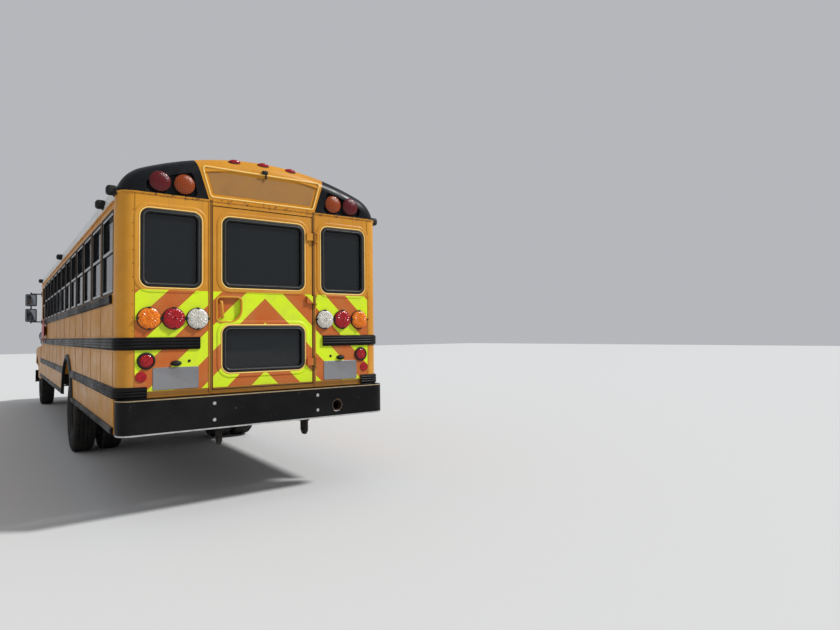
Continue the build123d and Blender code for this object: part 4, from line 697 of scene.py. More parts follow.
def rear_corner(x, y, radius, side, steps=10):
    """Points round a rear corner, from the side to the rear."""
    for i in range(steps + 1):
        turn = pi / 2 * i / steps
        way = (side * cos(turn), -sin(turn))
        yield (side * (x - radius) + way[0] * radius, y + radius + way[1] * radius, *way)


def corner_path(y_front, end_x, side):
    """Along a side to the rear corner, round it, and in along the rear face to end_x."""
    arc = rear_corner(side_x, rear_face_y, corner_radius, side)
    return [(side * side_x, y_front, side, 0), *arc, (side * end_x, rear_face_y, 0, -1)]


def rear_path(y_front):
    """From one side round both rear corners to the other side."""
    return corner_path(y_front, 0, -1)[:-1] + corner_path(y_front, 0, 1)[::-1][1:]


def bumper_path():
    """Round the rear bumper's outer face, from the left end to the right end."""
    half = side_x + 0.006
    left, right = (
        [(side * half, rear_end_y + 0.149, side, 0), *rear_corner(half, rear_end_y, 0.1, side)]
        for side in sides
    )
    return left + right[::-1]


# Rub rails: low z, height, y of the front end, y of the rear end, how far in at the rear, arch half gap
rails = (
    (1.78, 0.08, 2.674, -5.581, None, None),
    (1.395, 0.105, 3.54, None, 0.58, None),
    (1.0, 0.098, 3.54, None, 1.0, 0.52),
    (0.713, 0.058, 3.71, -5.661, None, 0.645),
)
entry_rear_y, entry_front_y = 2.574, 3.404


def rail_profile(low, height):
    """Sloping edges and three rounded ribs."""
    rib = ((0.0, 0.0165), (0.05, 0.0225), (0.115, 0.024), (0.18, 0.0225), (0.23, 0.0165))
    slope = ((0.0, 0), (0.05, 0.014), (0.12, 0.02))
    points = [(proud, low + height * share) for share, proud in slope]
    for k in range(3):
        points += [(proud, low + height * (0.15 + 0.235 * k + share)) for share, proud in rib]
    points += [(proud, low + height * (1 - share)) for share, proud in reversed(slope)]
    return points + [(-0.003, low + height), (-0.003, low)]


def rub_rails():
    shape = Shape()
    for low, height, front, rear, wrap_x, gap in rails:
        for side in sides:
            spans = [(front, rear)]
            if gap:
                spans = [(front, rear_axle_y + gap), (rear_axle_y - gap, rear)]
            if side > 0:
                first, last = spans[0]
                kept = [(entry_rear_y, last)]
                if front > front_cap_y:
                    kept.insert(0, (first, entry_front_y))
                spans = kept + spans[1:]
            for start, stop in spans:
                path = corner_path(start, wrap_x, side) if stop is None else side_path(start, stop, side)
                swept(shape, path, rail_profile(low, height))
    piece("ribbed_rub_rails", shape, "rail", stands_for="rub_rails")


# Lamps
def lens(shape, centre, radius, facing, rise, drum, petals=16, rings=16, count=96):
    """A round lens: a short drum, and a low dome with two circles of moulded petals."""
    x, y, z = centre
    inner_edge, outer_edge, petal_depth = 0.36, 0.96, 0.05 * radius
    rows = [[(x + radius * cos(t), y, z + radius * sin(t)) for t in turns(count)]]
    for i in range(rings + 1):
        r = 1 - i * 0.97 / rings
        dome = drum + rise * sqrt(max(0, 1 - (r * 0.985) ** 2))
        outer = inner = 0
        if inner_edge < r < outer_edge:
            outer = max(0, sin(pi * (r - inner_edge) / 0.6))
        elif r < inner_edge:
            inner = max(0, sin(pi * r / inner_edge))
        row = []
        for t in turns(count):
            ripple = outer * abs(sin(petals / 2 * t)) + inner * abs(sin(petals / 4 * t))
            out = dome + petal_depth * ripple
            row.append((x + radius * r * cos(t), y + facing * out, z + radius * r * sin(t)))
        rows.append(row)
    shape.loft(rows, cap=True)


def clips(shape, centre, radius, depth):
    """Four small clips at the edge of a lamp on the rear face."""
    x, y, z = centre
    for dx, dz in ((1, 0), (-1, 0), (0, 1), (0, -1)):
        cx, cz = x + dx * radius, z + dz * radius
        w, h = (0.007, 0.01) if dx else (0.01, 0.007)
        shape.box((cx - w, y - depth, cz - h), (cx + w, y, cz + h))


lamp_row = ((0.985, "amber"), (0.793, "red"), (0.601, "clear"))  # x, look
warnings = ((0.9, "warning_red"), (0.705, "warning_amber"))  # x, look
rear_bay_y = rear_face_y + 0.03
front_bay_y = 3.57

# Outlines of lamp surrounds and of the flat lens, as (radius, along) pairs
drum_edge = [(0.05, -0.004), (0.093, -0.004), (0.093, 0.008), (0.088, 0.012), (0.05, 0.012)]
grommet = [
    (0.04, -0.004), (0.07, -0.004), (0.07, 0.006), (0.066, 0.014), (0.056, 0.017), (0.051, 0.01),
    (0.04, 0.009),
]
flat_lens = [(0.01, -0.004), (0.042, -0.004), (0.042, 0.006), (0.04, 0.008), (0.002, 0.0085)]
bay_ring = [(0.05, -0.004), (0.093, -0.004), (0.093, 0.014), (0.087, 0.022), (0.083, 0.016), (0.05, 0.012)]


def crown_radius(middle_x):
    """The roof's larger radius, which meets the shoulder arc."""
    return (middle_x**2 + shoulder_rise**2 - shoulder_radius**2) / (2 * (shoulder_rise - shoulder_radius))


def lamps():
    shapes = {look: Shape() for look in plastics}
    black, dots = Shape(), Shape()
    row_z, stop_z, flat_z, bay_z = 1.655, 1.307, 1.178, 2.8
    for side in sides:
        for x, look in lamp_row:
            centre = (side * x, rear_face_y, row_z)
            lens(shapes[look], centre, 0.087, -1, 0.016, 0.02)
            black.revolve(centre, rearward, drum_edge, 48)
            clips(black, centre, 0.088, 0.03)
        x, y, z = side * 1.004, rear_face_y, stop_z
        black.revolve((x, y, z), rearward, grommet, 48)
        lens(shapes["red"], (x, y, z), 0.052, -1, 0.01, 0.01, petals=12, rings=10, count=64)
        spots = [(0, 0)]
        for r, count in ((0.02, 6), (0.038, 12)):
            spots += [(r * cos(t), r * sin(t)) for t in turns(count)]
        for du, dv in spots:
            ellipsoid(dots, (x + du, y - 0.017, z + dv), 0.006, 0.006, 0.006, steps=3, count=10)
        shapes["red"].revolve((side * 1.041, rear_face_y, flat_z), rearward, flat_lens, 48)
        for x, look in warnings:
            for y, facing in ((rear_bay_y, -1), (front_bay_y, 1)):
                centre = (side * x, y, bay_z)
                lens(shapes[look], centre, 0.084, facing, 0.026, 0.024, petals=0, rings=12, count=64)
                black.revolve(centre, (0, facing, 0), bay_ring, 48)
    crown = crown_radius(side_x - shoulder_radius)
    chamfer = 0.0375
    for x in (-0.265, 0, 0.265):
        drop = x**2 / (2 * crown)
        for look, y, facing in (("red", rear_face_y, -1), ("amber", front_cap_y, 1)):
            up, out = (0, -facing, 1), Vector((0, facing, 1)).normalized()
            foot = Vector((x, y - facing * chamfer, roof_z - drop - chamfer))
            ellipsoid(black, foot - out * 0.002, 0.06, 0.026, 0.008, up, out)
            ellipsoid(shapes[look], foot + out * 0.003, 0.052, 0.02, 0.022, up, out)
    for look, shape in shapes.items():
        piece("lenses_" + look, shape, look, stands_for=None if "warning" in look else look + "_lamps")
    piece("lamp_surrounds", black, "rubber")
    piece("stop_lamp_diodes", dots, "red")


# End caps
def outline_point(inset, share):
    """A point on the roof's outline moved in by inset, share 0 at the left foot and 1 at the right."""
    middle_x, spring = side_x - shoulder_radius, roof_z - shoulder_rise
    crown, shoulder = crown_radius(middle_x), shoulder_radius - inset
    crown_z = roof_z - crown
    turn = atan2(spring - crown_z, middle_x)
    foot = asin((cap_low_z - spring) / shoulder)
    side_arc = (turn - foot) * shoulder
    top_arc = (pi / 2 - turn) * (crown - inset)
    along = (1 - abs(share - 0.5) * 2) * (side_arc + top_arc)
    if along < side_arc:
        lean = foot + along / shoulder
        x, z = middle_x + shoulder * cos(lean), spring + shoulder * sin(lean)
    else:
        lean = turn + (along - side_arc) / (crown - inset)
        x, z = (crown - inset) * cos(lean), crown_z + (crown - inset) * sin(lean)
    return (x if share > 0.5 else -x), z


sign_corners = ((-0.485, 2.722), (0.485, 2.722), (0.56, 2.985), (-0.56, 2.985))
bay_corners = ((0.59, 2.7), (1.01, 2.7), (1.01, 2.85), (0.93, 2.925), (0.64, 2.925))


def recess(corners, x, z, radius, soft):
    """1 inside a convex outline with rounded corners, 0 outside, with a soft step between."""
    near = np.full_like(x, 1e3)
    outside = np.zeros_like(x)
    for i, (ax, az) in enumerate(corners):
        bx, bz = corners[(i + 1) % len(corners)]
        d = ((bx - ax) * (z - az) - (bz - az) * (x - ax)) / hypot(bx - ax, bz - az) - radius
        near = np.minimum(near, d)
        outside += np.minimum(d, 0) ** 2
    dist = np.where(near < 0, radius - np.sqrt(outside), radius + near)
    t = np.clip(dist / soft, 0, 1)
    return t * t * (3 - 2 * t)


def end_cap(word, face_y, inward):
    """A moulded roof end: rounded rim, sunk sign panel and two sunk lamp bays. inward is +1 at the rear."""
    columns, rows = ((420, 80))
    back_y, lining_y, wall = face_y + inward * 0.164, face_y + inward * 0.09, 0.05
    sign_depth, bay_depth = 0.012, 0.03
    shares = [i / columns for i in range(columns + 1)]
    rings = [[(*outline_point(0, s), back_y) for s in shares]]
    rim_steps = 8
    for k in range(rim_steps + 1):
        lean = pi / 2 * k / rim_steps
        inset, y = corner_radius * (1 - cos(lean)), face_y + inward * corner_radius * (1 - sin(lean))
        rings.append([(*outline_point(inset, s), y) for s in shares])
    verts = [(x, y, z) for ring in rings for x, z, y in ring]
    width = columns + 1
    faces = []
    for r in range(len(rings) - 1):
        for a in range(r * width, r * width + columns):
            faces.append((a, a + 1, a + width + 1, a + width))
    top = np.array([(x, z) for x, z, y in rings[-1]])
    last = (len(rings) - 1) * width
    above = list(range(last, last + width))
    for k in range(1, rows + 1):
        x = top[1:-1, 0]
        z = top[1:-1, 1] + (cap_low_z - top[1:-1, 1]) * k / rows
        depth = sign_depth * recess(sign_corners, x, z, 0.025, 0.01)
        depth += bay_depth * recess(bay_corners, np.abs(x), z, 0.045, 0.016)
        base = len(verts)
        verts += [(a, face_y + inward * d, b) for a, d, b in zip(x, depth, z)]
        here = [last] + list(range(base, base + width - 2)) + [last + columns]
        for i in range(columns):
            quad = (above[i], above[i + 1], here[i + 1], here[i])
            faces.append(tuple(dict.fromkeys(quad)))
        above = here
    inner = len(verts)
    inside = [outline_point(wall, s) for s in shares]
    for y in (back_y, lining_y):
        verts += [(x, y, z) for x, z in inside]
    for i in range(columns):
        faces.append((i, i + 1, inner + i + 1, inner + i))
        faces.append((inner + i, inner + i + 1, inner + width + i + 1, inner + width + i))
    faces.append(tuple(range(inner + width, inner + 2 * width)))
    left = [r * width for r in range(len(rings))]
    right = [r * width + columns for r in range(len(rings))]
    foot = left + above[1:-1] + right[::-1]
    foot += [inner + columns, inner + width + columns, inner + width, inner]
    faces.append(tuple(foot))
    name = word + "_end_cap"
    piece(name, Shape(verts, faces), "yellow_cap", stands_for=word + "_cap")
    edge, sheet = Shape(), Shape()

    def sunk(u, v, depth):
        return (u, face_y + inward * depth, v)

    # The sign frame bead is in the lighter yellow of a painted highlight.
    loop_ring(edge, rounded_loop(sign_corners, 0.025), [(out, -p) for out, p in bead(0.014, 0.006)], sunk)
    piece(name + "_sign_frame", edge, "highlight_yellow")
    section = ((0.0135, 0.032), (0.0105, 0.032), (0.0105, 0.036))
    sheet.loft(loop_rows(sign_corners, 0.045, section, sunk), cap=True)
    piece(name + "_sign_sheet", sheet, "sign")


# Rear and sides
def open_exhaust():
    """The exhaust with its tailpipe bored open."""
    source = frame["nodes"]["exhaust"]
    whole = source.data.copy()
    whole.transform(source.matrix_world)
    bore = Shape()
    bore.revolve((0.688, rear_end_y - 0.01, 0.826), forward, [(0.047, 0), (0.047, 0.4)])
    mesh = carved(whole, bore)
    mesh.materials.clear()
    dressed("open_exhaust_pipe", mesh, "exhaust", "bus_body", 30, "exhaust")


def header_lip():
    """The drip edge under the rear cap, round both rear corners."""
    shape = Shape()
    lip = [(-0.003, 2.678), (0.005, 2.679), (0.009, 2.684), (0.009, 2.69), (0.004, 2.694), (-0.003, 2.695)]
    swept(shape, rear_path(-5.66), lip)
    piece("rear_header_lip", shape, "yellow_rear")


def rear_details():
    """Window trim, plates and their lamps, bolts, seams, the sill, bumper edges and the door's seal; the
    bumper's top edge is a painted highlight.
    """
    rear_panes = [((-1.04, -0.578), (1.927, 2.552)), ((0.578, 1.04), (1.927, 2.552))]
    door_panes = [((-0.378, 0.378), (1.943, 2.545)), ((-0.378, 0.378), (1.194, 1.582))]
    window_trim("rear_window", rear_panes, 0.06, "bus_body", on_rear)
    window_trim("rear_door_window", door_panes, 0.06, "rear_door", on_rear)
    plates, housings, bolts, seams = Shape(), Shape(), Shape(), Shape()
    for side in sides:
        x = sorted((side * 0.59, side * 0.955))
        loop = rounded_loop(oblong(x, (1.065, 1.249)), 0.012)
        section = ((-0.003, 0), (0.003, 0), (0.005, 0.003), (0.0035, 0.008))
        plates.loft(stacked(loop, section, on_rear), cap=True)
        middle = (x[0] + x[1]) / 2
        ellipsoid(housings, on_rear(middle, 1.28, 0), 0.045, 0.024, 0.03)
        ellipsoid(housings, on_rear(side * 0.666, 1.297, 0), 0.013, 0.013, 0.008)
        rivets(bolts, [on_rear(middle + dx, 1.235, 0.004) for dx in (-0.15, 0.15)], 0.006, 0.003)
        rivets(bolts, [(side * 0.482, rear_end_y, z) for z in (0.933, 0.793)], 0.016, 0.0015)
        seam_x = side * 1.092
        seams.box((seam_x - 0.002, rear_face_y - 0.0015, 1.1), (seam_x + 0.002, rear_face_y + 0.004, 2.68))
        rivets(housings, [on_rear(side * 1.105, 1.55 + 0.11 * k, -0.001) for k in range(10)], 0.004, 0.002)
    rounded_box(housings, (0.0, rear_face_y - 0.008, 3.005), (0.05, 0.036, 0.034), 0.008)
    rounded_box(housings, (0.012, rear_face_y - 0.004, 2.972), (0.014, 0.016, 0.05), 0.004)
    piece("rear_plates", plates, "plate")
    piece("plate_lamp_housings", housings, "rubber")
    piece("bumper_bolts", bolts, "bright")
    piece("corner_post_seams", seams, "seam", angle=None)
    ledge = Shape()
    sill = [(-0.002, 1.004), (0.012, 1.004), (0.014, 1.008), (0.014, 1.012), (0.002, 1.018), (-0.002, 1.018)]
    swept(ledge, rear_path(-5.7), sill)
    piece("rear_sill_edge", ledge, "yellow_rear")
    # The bumper's top edge band is a painted sunlit highlight; the bottom one is worn metal.
    for name, low, high, look in (
        ("bumper_worn_edge", 0.7153, 0.7275, "edge_wear"), ("bumper_top_edge", 0.9905, 0.999, "ledge"),
    ):
        band = Shape()
        swept(band, bumper_path(), [(-0.003, low), (0.0006, low), (0.0006, high), (-0.003, high)])
        piece(name, band, look)
    door_handle()
    seal = Shape()
    outline = rounded_path((-0.474, 0.474), (1.042, 2.644), 0.02)
    loop_ring(seal, outline, bead(0.01, 0.003, lift=-0.004), on_rear)
    piece("rear_door_seal", seal, "rubber", "rear_door")


def door_handle():
    """The rear door's lever in its pocket, which has one wide corner."""
    pocket, lever = Shape(), Shape()
    loop = []
    for i, radius in enumerate((0.035, 0.11, 0.035, 0.035)):
        loop += rounded_loop(oblong((-0.434, -0.222), (1.63, 1.845)), radius, 10)[i * 11:(i + 1) * 11]
    loop_ring(pocket, loop, bead(0.02, 0.007, 0.004), on_rear)
    piece("handle_pocket_rim", pocket, "yellow_plain", "rear_door")
    foot_z = 1.657
    line = ((foot_z, -0.028), (1.662, 0.004), (1.676, 0.016), (1.8, 0.016), (1.814, 0.004), (1.819, -0.028))
    rings = []
    for z, proud in line:
        x = -0.389 - 0.012 * (z - foot_z) / 0.16
        rings.append([
            on_rear(x + 0.013 * cos(t), z + 0.002 * sin(t), proud - 0.0075 * sin(t)) for t in turns(16)
        ])
    lever.loft(rings, cap=True)
    piece("rear_door_lever", lever, "yellow_plain", "rear_door", "rear_door_handle")


def side_rivets(side):
    """Places of the rivets beside the panel seams and along the rails, up to the entry door."""
    points = []
    for y, low, high in side_seams(side):
        count = int((high - low - 0.04) / 0.045)
        points += [(side * side_x, y + 0.018, low + 0.03 + 0.045 * k) for k in range(count)]
    y = -5.6
    while y < (3.4 if side < 0 else 2.57):
        for z in (1.375, 1.515, 1.765, 1.868):
            if side > 0 or y < 2.66 or z < 1.6:
                points.append((side * side_x, y, z))
        y += 0.115
    return points


def side_seams(side):
    """(y, low z, high z) of the seams between side panels, apart from those at the entry door."""
    for i in range(window_count + 1):
        y = rear_post_y + window_pitch * i
        if side > 0 and 2.58 < y < 3.4:
            continue
        over_arch = abs(y - rear_axle_y) < 0.6
        yield y, 1.26 if over_arch else 1.1, 1.39
        yield y, 1.505, 1.775


def side_details():
    """Drip rails, panel seams, rivets, window seals, roof-edge lamps and the rear arches' flares."""
    drip, seals, seams, rivet_shape, stubs, flare = (Shape() for k in range(6))
    profile = [
        (-0.002, 2.614), (0.01, 2.614), (0.014, 2.618), (0.014, 2.626), (0.011, 2.627), (0.01, 2.62),
        (-0.002, 2.622),
    ]
    lip = (
        (-0.004, -0.01), (-0.004, 0.024), (0.006, 0.028), (0.04, 0.02), (0.052, 0.006), (0.05, -0.002),
        (0.006, -0.01),
    )
    arch_radius, arch_z, arch_foot = 0.63, 0.61, 0.715
    first_y, length, sill_z, head_z = -5.626, 0.625, 1.876, 2.554
    for side in sides:
        x = side * side_x
        swept(drip, side_path(3.42, -5.66, side), profile)
        for i in range(window_count):
            y = first_y + window_pitch * i
            loop = rounded_path((y, y + length), (sill_z, head_z), 0.012)
            loop_ring(seals, loop, bead(0.016, 0.007, 0.004, -0.003), lambda u, v, p: (x + side * p, u, v))
        for y, low, high in side_seams(side):
            seams.box((x - 0.002, y - 0.0015, low), (x + 0.0012, y + 0.0015, high))
        rivets(rivet_shape, side_rivets(side), 0.0045, 0.0022, (side, 0, 0))
        for y in (-5.69, -5.065, -0.925, 3.475):
            rounded_box(stubs, (side * 1.205, y, 2.69), (0.05, 0.11, 0.06), 0.012)
            rounded_box(stubs, (side * 1.243, y, 2.703), (0.085, 0.085, 0.078), 0.026, 5)
        rings = []
        for k in range(41):
            t = radians(-4 + 188 * k / 40)
            y, z = rear_axle_y + arch_radius * cos(t), arch_z + arch_radius * sin(t)
            if z > arch_foot:
                rings.append([(side * (side_x + out), y + cos(t) * r, z + sin(t) * r) for r, out in lip])
        flare.loft(rings, cap=True)
    piece("side_drip_rails", drip, "yellow")
    piece("side_window_seals", seals, "rubber")
    piece("side_panel_seams", seams, "seam", angle=None)
    piece("side_rivets", rivet_shape, "yellow")
    piece("roof_edge_lamps", stubs, "rubber")
    piece("rear_arch_flares", flare, "trim")


# Wheels
def tyre_mesh():
    """A highway tyre about the x axis, its outer wall towards +x."""
    count = 192
    half = [  # (radius, x) from the bead over the outer wall to the middle of the tread
        (0.292, 0.1), (0.3, 0.112), (0.318, 0.121), (0.345, 0.1265), (0.372, 0.129), (0.374, 0.1305),
        (0.381, 0.1305), (0.383, 0.1292), (0.41, 0.129), (0.436, 0.1265), (0.455, 0.1235), (0.459, 0.1245),
        (0.466, 0.1235), (0.47, 0.1205), (0.488, 0.1145), (0.5, 0.107), (0.507, 0.099), (0.5085, 0.092),
        (0.5092, 0.072), (0.499, 0.069), (0.499, 0.063), (0.5097, 0.06), (0.5099, 0.03), (0.499, 0.027),
        (0.499, 0.021), (0.51, 0.018),
    ]
    lugs, sipes = (15, 16, 17, 18), (21, 22)
    lug_depth, sipe_depth = 0.009, 0.005
    shape = Shape()
    rings = []
    rows = [(i, r, x) for i, (r, x) in enumerate(half)]
    for i, r, x in rows + [(i, r, -x) for i, r, x in reversed(rows)]:
        ring = []
        for k in range(count):
            cut = lug_depth if i in lugs and k % 4 == 0 else 0
            if i in sipes and k % 8 == 2:
                cut = sipe_depth
            t = 2 * pi * (k + 0.5) / count
            ring.append((x, (r - cut) * cos(t), (r - cut) * sin(t)))
        rings.append(ring)
    shape.loop(rings)
    return new_mesh("tyre", shape, weld=True)


def rim_mesh(disc, hub_reach, holes=5, nut_count=10):
    """A steel disc wheel about the x axis, whose disc lies at that x, with hand holes and nuts."""
    profile = [
        (0.004, hub_reach), (0.055, hub_reach), (0.075, hub_reach - 0.006), (0.082, hub_reach - 0.026),
        (0.084, disc + 0.03), (0.112, disc + 0.022), (0.118, disc + 0.007), (0.172, disc + 0.007),
        (0.205, disc + 0.002), (0.232, disc - 0.012), (0.256, disc - 0.026), (0.272, disc - 0.028),
        (0.274, 0.092), (0.28, 0.1), (0.292, 0.104), (0.304, 0.108), (0.306, 0.114), (0.302, 0.118),
        (0.292, 0.1165), (0.29, 0.104), (0.289, 0.095), (0.289, -0.095), (0.3, -0.104), (0.304, -0.112),
        (0.296, -0.114), (0.28, -0.1), (0.268, -0.088), (0.266, disc - 0.042), (0.24, disc - 0.03),
        (0.205, disc - 0.012), (0.172, disc - 0.007), (0.004, disc - 0.007),
    ]
    barrel, cutters, nuts = Shape(), Shape(), Shape()
    barrel.revolve((0, 0, 0), rightward, profile, 96)
    hole_radius, nut_radius = 0.196, 0.143
    for t in turns(holes):
        centre = (disc - 0.06, hole_radius * cos(t), hole_radius * sin(t))
        cutters.revolve(centre, rightward, [(0.024, 0), (0.024, 0.12)], 20)
    for k in range(nut_count):
        t = 2 * pi * (k + 0.5) / nut_count
        centre = (disc + 0.006, nut_radius * cos(t), nut_radius * sin(t))
        nuts.revolve(centre, rightward, [(0.0195, 0), (0.0195, 0.018), (0.017, 0.021)], 6)
        nuts.revolve(centre, rightward, [(0.01, 0.018), (0.01, 0.034), (0.008, 0.036)], 12)
    return carved(new_mesh("rim_base", barrel, weld=True), cutters), new_mesh("nuts", nuts, weld=True)


def wheels():
    tyre = tyre_mesh()
    front_rim, front_nuts = rim_mesh(0.05, 0.11)
    rear_rim, rear_nuts = rim_mesh(-0.09, 0.06)
    # Name, x of the tyre's middle, y, which way its outer face looks, rim, nuts, body, solids it stands for
    rear = "rear_wheels"
    rows = (
        ("front", 1.03, front_axle_y, 1, front_rim, front_nuts, "front_wheel", ("front_tyre", "front_rim")),
        ("rear_outer", 1.055, rear_axle_y, 1, rear_rim, rear_nuts, rear, ("rear_tyres", "rear_rims")),
        ("rear_inner", 0.735, rear_axle_y, -1, rear_rim, None, rear, None),
    )
    for side, word in zip(sides, ("left", "right")):
        for i, (name, x, y, facing, rim, nuts, body, nodes) in enumerate(rows):
            turn = Matrix.Rotation(0.4 + 1.3 * i + (0.7 if side > 0 else 0), 4, "X")
            face = Matrix.Identity(4) if side * facing > 0 else Matrix.Rotation(pi, 4, "Z")
            matrix = Matrix.Translation((side * x, y, tyre_radius)) @ turn @ face
            body = f"{word}_{body}"
            tyre_node, rim_node = (f"{word}_{node}" for node in nodes) if nodes else (None, None)
            placed(f"{word}_{name}_tyre_tread", tyre, matrix, "tyre", body, 50, tyre_node)
            placed(f"{word}_{name}_disc_wheel", rim, matrix, "rim", body, 35, rim_node)
            if nuts:
                placed(f"{word}_{name}_nuts", nuts, matrix, "rim", body, 25)


# Seats
def cushion_mesh(name, size, puff, seed=1.0):
    """A padded block about its own middle: rounded edges, domed faces, a stitched seam round the rim."""
    hx, hy, hz = (s / 2 for s in size)
    steps, power, wave = 18, 0.22, 0.006
    seam_depth, seam_width = 0.003, 0.006

    def squared(value):
        return copysign(abs(value) ** power, value)

    rings = []
    for i in range(steps + 1):
        lean = pi * (i / steps - 0.5)
        inside = 0 < i < steps
        high = squared(sin(lean)) if inside else copysign(1, lean)
        level = abs(cos(lean)) ** power if inside else 0.04
        ring = []
        for t in turns(72):
            x, y, z = hx * level * squared(cos(t)), hy * level * squared(sin(t)), hz * high
            near = max(0, 1 - (x / hx) ** 2) * max(0, 1 - (y / hy) ** 2)
            z *= 1 - puff * (1 - near)
            z += wave * sin(9 * x + seed) * sin(7 * y + 2 * seed) * near
            seam = exp(-((abs(z) - hz * 0.55) / seam_width) ** 2) * seam_depth
            ring.append((x * (1 - seam / hx), y * (1 - seam / hy), max(-hz, min(hz, z))))
        rings.append(ring)
    shape = Shape()
    shape.loft(rings, cap=True)
    return new_mesh(name, shape, weld=True)


def seats():
    """The benches and the driver's seat, each a cushion and a back."""
    bench = (
        cushion_mesh("bench_cushion", (0.985, 0.4, 0.11), 0.16),
        cushion_mesh("bench_back", (0.985, 0.72, 0.09), 0.22, 2.0),
    )
    driver = (
        cushion_mesh("driver_cushion", (0.48, 0.45, 0.11), 0.2, 3.0),
        cushion_mesh("driver_back", (0.48, 0.67, 0.09), 0.22, 4.0),
    )
    upright = Matrix.Rotation(pi / 2, 4, "X")
    bench_x, bench_length, last_y = (0.184 + 1.169) / 2, 0.49, 2.619 - 0.25
    places = []
    for row in range(window_count):
        y = -5.565 + window_pitch * row
        for side, word in zip(sides, ("left", "right")):
            if side < 0 or y + bench_length < last_y:
                x = side * bench_x
                places.append((f"{word}_{row + 1}", bench, (x, y + 0.29, 1.435), (x, y + 0.045, 1.74)))
    places.append(("driver", driver, (-0.66, 2.889, 1.435), (-0.66, 2.619, 1.715)))
    for word, meshes, cushion_place, back_place in places:
        nodes = ("seat_cushions", "seat_backs") if word == "driver" else (None, None)
        matrices = Matrix.Translation(cushion_place), Matrix.Translation(back_place) @ upright
        cushion = placed(f"cushion_{word}", meshes[0], matrices[0], "vinyl", "bus_body", 60, nodes[0])
        back = placed(f"back_{word}", meshes[1], matrices[1], "vinyl", "bus_body", 60, nodes[1])


# Rounded copies of solids
def softened(node, look, width, segments=3, angle=30, pick=None):
    """A copy of a solid with its sharp edges rounded, which stands for it."""
    source = frame["nodes"][node]
    bm = bmesh.new()
    bm.from_mesh(source.data)
    bm.transform(source.matrix_world)
    bmesh.ops.remove_doubles(bm, verts=bm.verts, dist=1e-5)
    bmesh.ops.dissolve_limit(bm, angle_limit=radians(1), verts=bm.verts, edges=bm.edges)
    edges = [
        e for e in bm.edges
        if len(e.link_faces) == 2 and e.calc_face_angle() > radians(angle) and (pick is None or pick(e))
    ]
    bmesh.ops.bevel(
        bm, geom=edges, offset=width, segments=segments, profile=0.5, affect="EDGES", clamp_overlap=True
    )
    bmesh.ops.recalc_face_normals(bm, faces=bm.faces)
    mesh = bpy.data.meshes.new(node + "_soft")
    bm.to_mesh(mesh)
    bm.free()
    dressed(node + "_soft", mesh, look, body_of(source)[0], 35, node)


def outer_hood_edge(edge):
    """Edges on the hood's outer skin, not those of its open underside."""
    middle = (edge.verts[0].co + edge.verts[1].co) / 2
    way = 1 if middle.x > 0 else -1
    return edge.calc_length() > 0.12 and all(
        f.normal.z > -0.05 and f.normal.x * way > -0.05 and f.normal.y > -0.05 for f in edge.link_faces
    )


# Mirrors, stop arm and front
def mirror_heads():
    """Rounded housings with mirror glass that faces back, on their arms."""
    heads, arms, glass = Shape(), Shape(), Shape()
    section = ((-0.004, 0), (0.001, 0), (0.002, 0.003), (0.0005, 0.012))
    pole_y = 3.537
    for side in sides:
        x = side * 1.41
        for z, tall in ((2.3, 0.25), (1.985, 0.27)):
            rounded_box(heads, (x, 3.497, z), (0.2, 0.056, tall), 0.026, 5)
            half = tall / 2 - 0.014
            loop = rounded_loop(oblong((x - 0.086, x + 0.086), (z - half, z + half)), 0.02)
            glass.loft(stacked(loop, section, lambda u, v, proud: (u, 3.468 - proud, v)), cap=True)
        pole(arms, [(x, pole_y, 1.82), (x, pole_y, 2.46)], 0.013)
        for z in (1.852, 2.432):
            pole(arms, [(side * 1.219, 3.534, z), (side * 1.3, pole_y, z), (x, pole_y, z)], 0.012)
            rounded_box(arms, (side * 1.223, 3.534, z), (0.012, 0.07, 0.1), 0.004)
        for z in (2.3, 1.985):
            rounded_box(arms, (x, 3.53, z), (0.05, 0.02, 0.06), 0.006)
    piece("mirror_housings", heads, "trim", stands_for="mirrors")
    piece("mirror_arms", arms, "trim")
    piece("mirror_faces", glass, "mirror")


def crossview_mirrors():
    """Round mirrors on stalks at the fenders: a domed shell, a rim and glass that faces back."""
    shells, glass, bars = Shape(), Shape(), Shape()
    shell = [
        (0.14, 0.004), (0.149, 0.001), (0.15, 0.008), (0.149, 0.018), (0.141, 0.03), (0.126, 0.042),
        (0.104, 0.054), (0.076, 0.063), (0.04, 0.069), (0.004, 0.07),
    ]
    pane = [
        (0.14, 0.006), (0.141, 0.002), (0.12, -0.0015), (0.085, -0.0045), (0.045, -0.0065), (0.004, -0.007),
    ]
    for side in sides:
        head, foot = Vector((side * 1.02, 5.485, 1.56)), Vector((side * 0.88, 5.315, 1.268))
        shells.revolve(head, forward, shell, 64)
        glass.revolve(head, forward, pane, 64)
        pole(bars, [foot, head + (foot - head) * 0.06 + Vector((0, 0.012, 0))], 0.0105)
        ellipsoid(bars, foot, 0.034, 0.03, 0.014, forward, upward)
    piece("hood_mirror_shells", shells, "trim", "hood", "hood_mirrors")
    piece("hood_mirror_stalks", bars, "trim", "hood")
    piece("hood_mirror_glass", glass, "mirror", "hood")


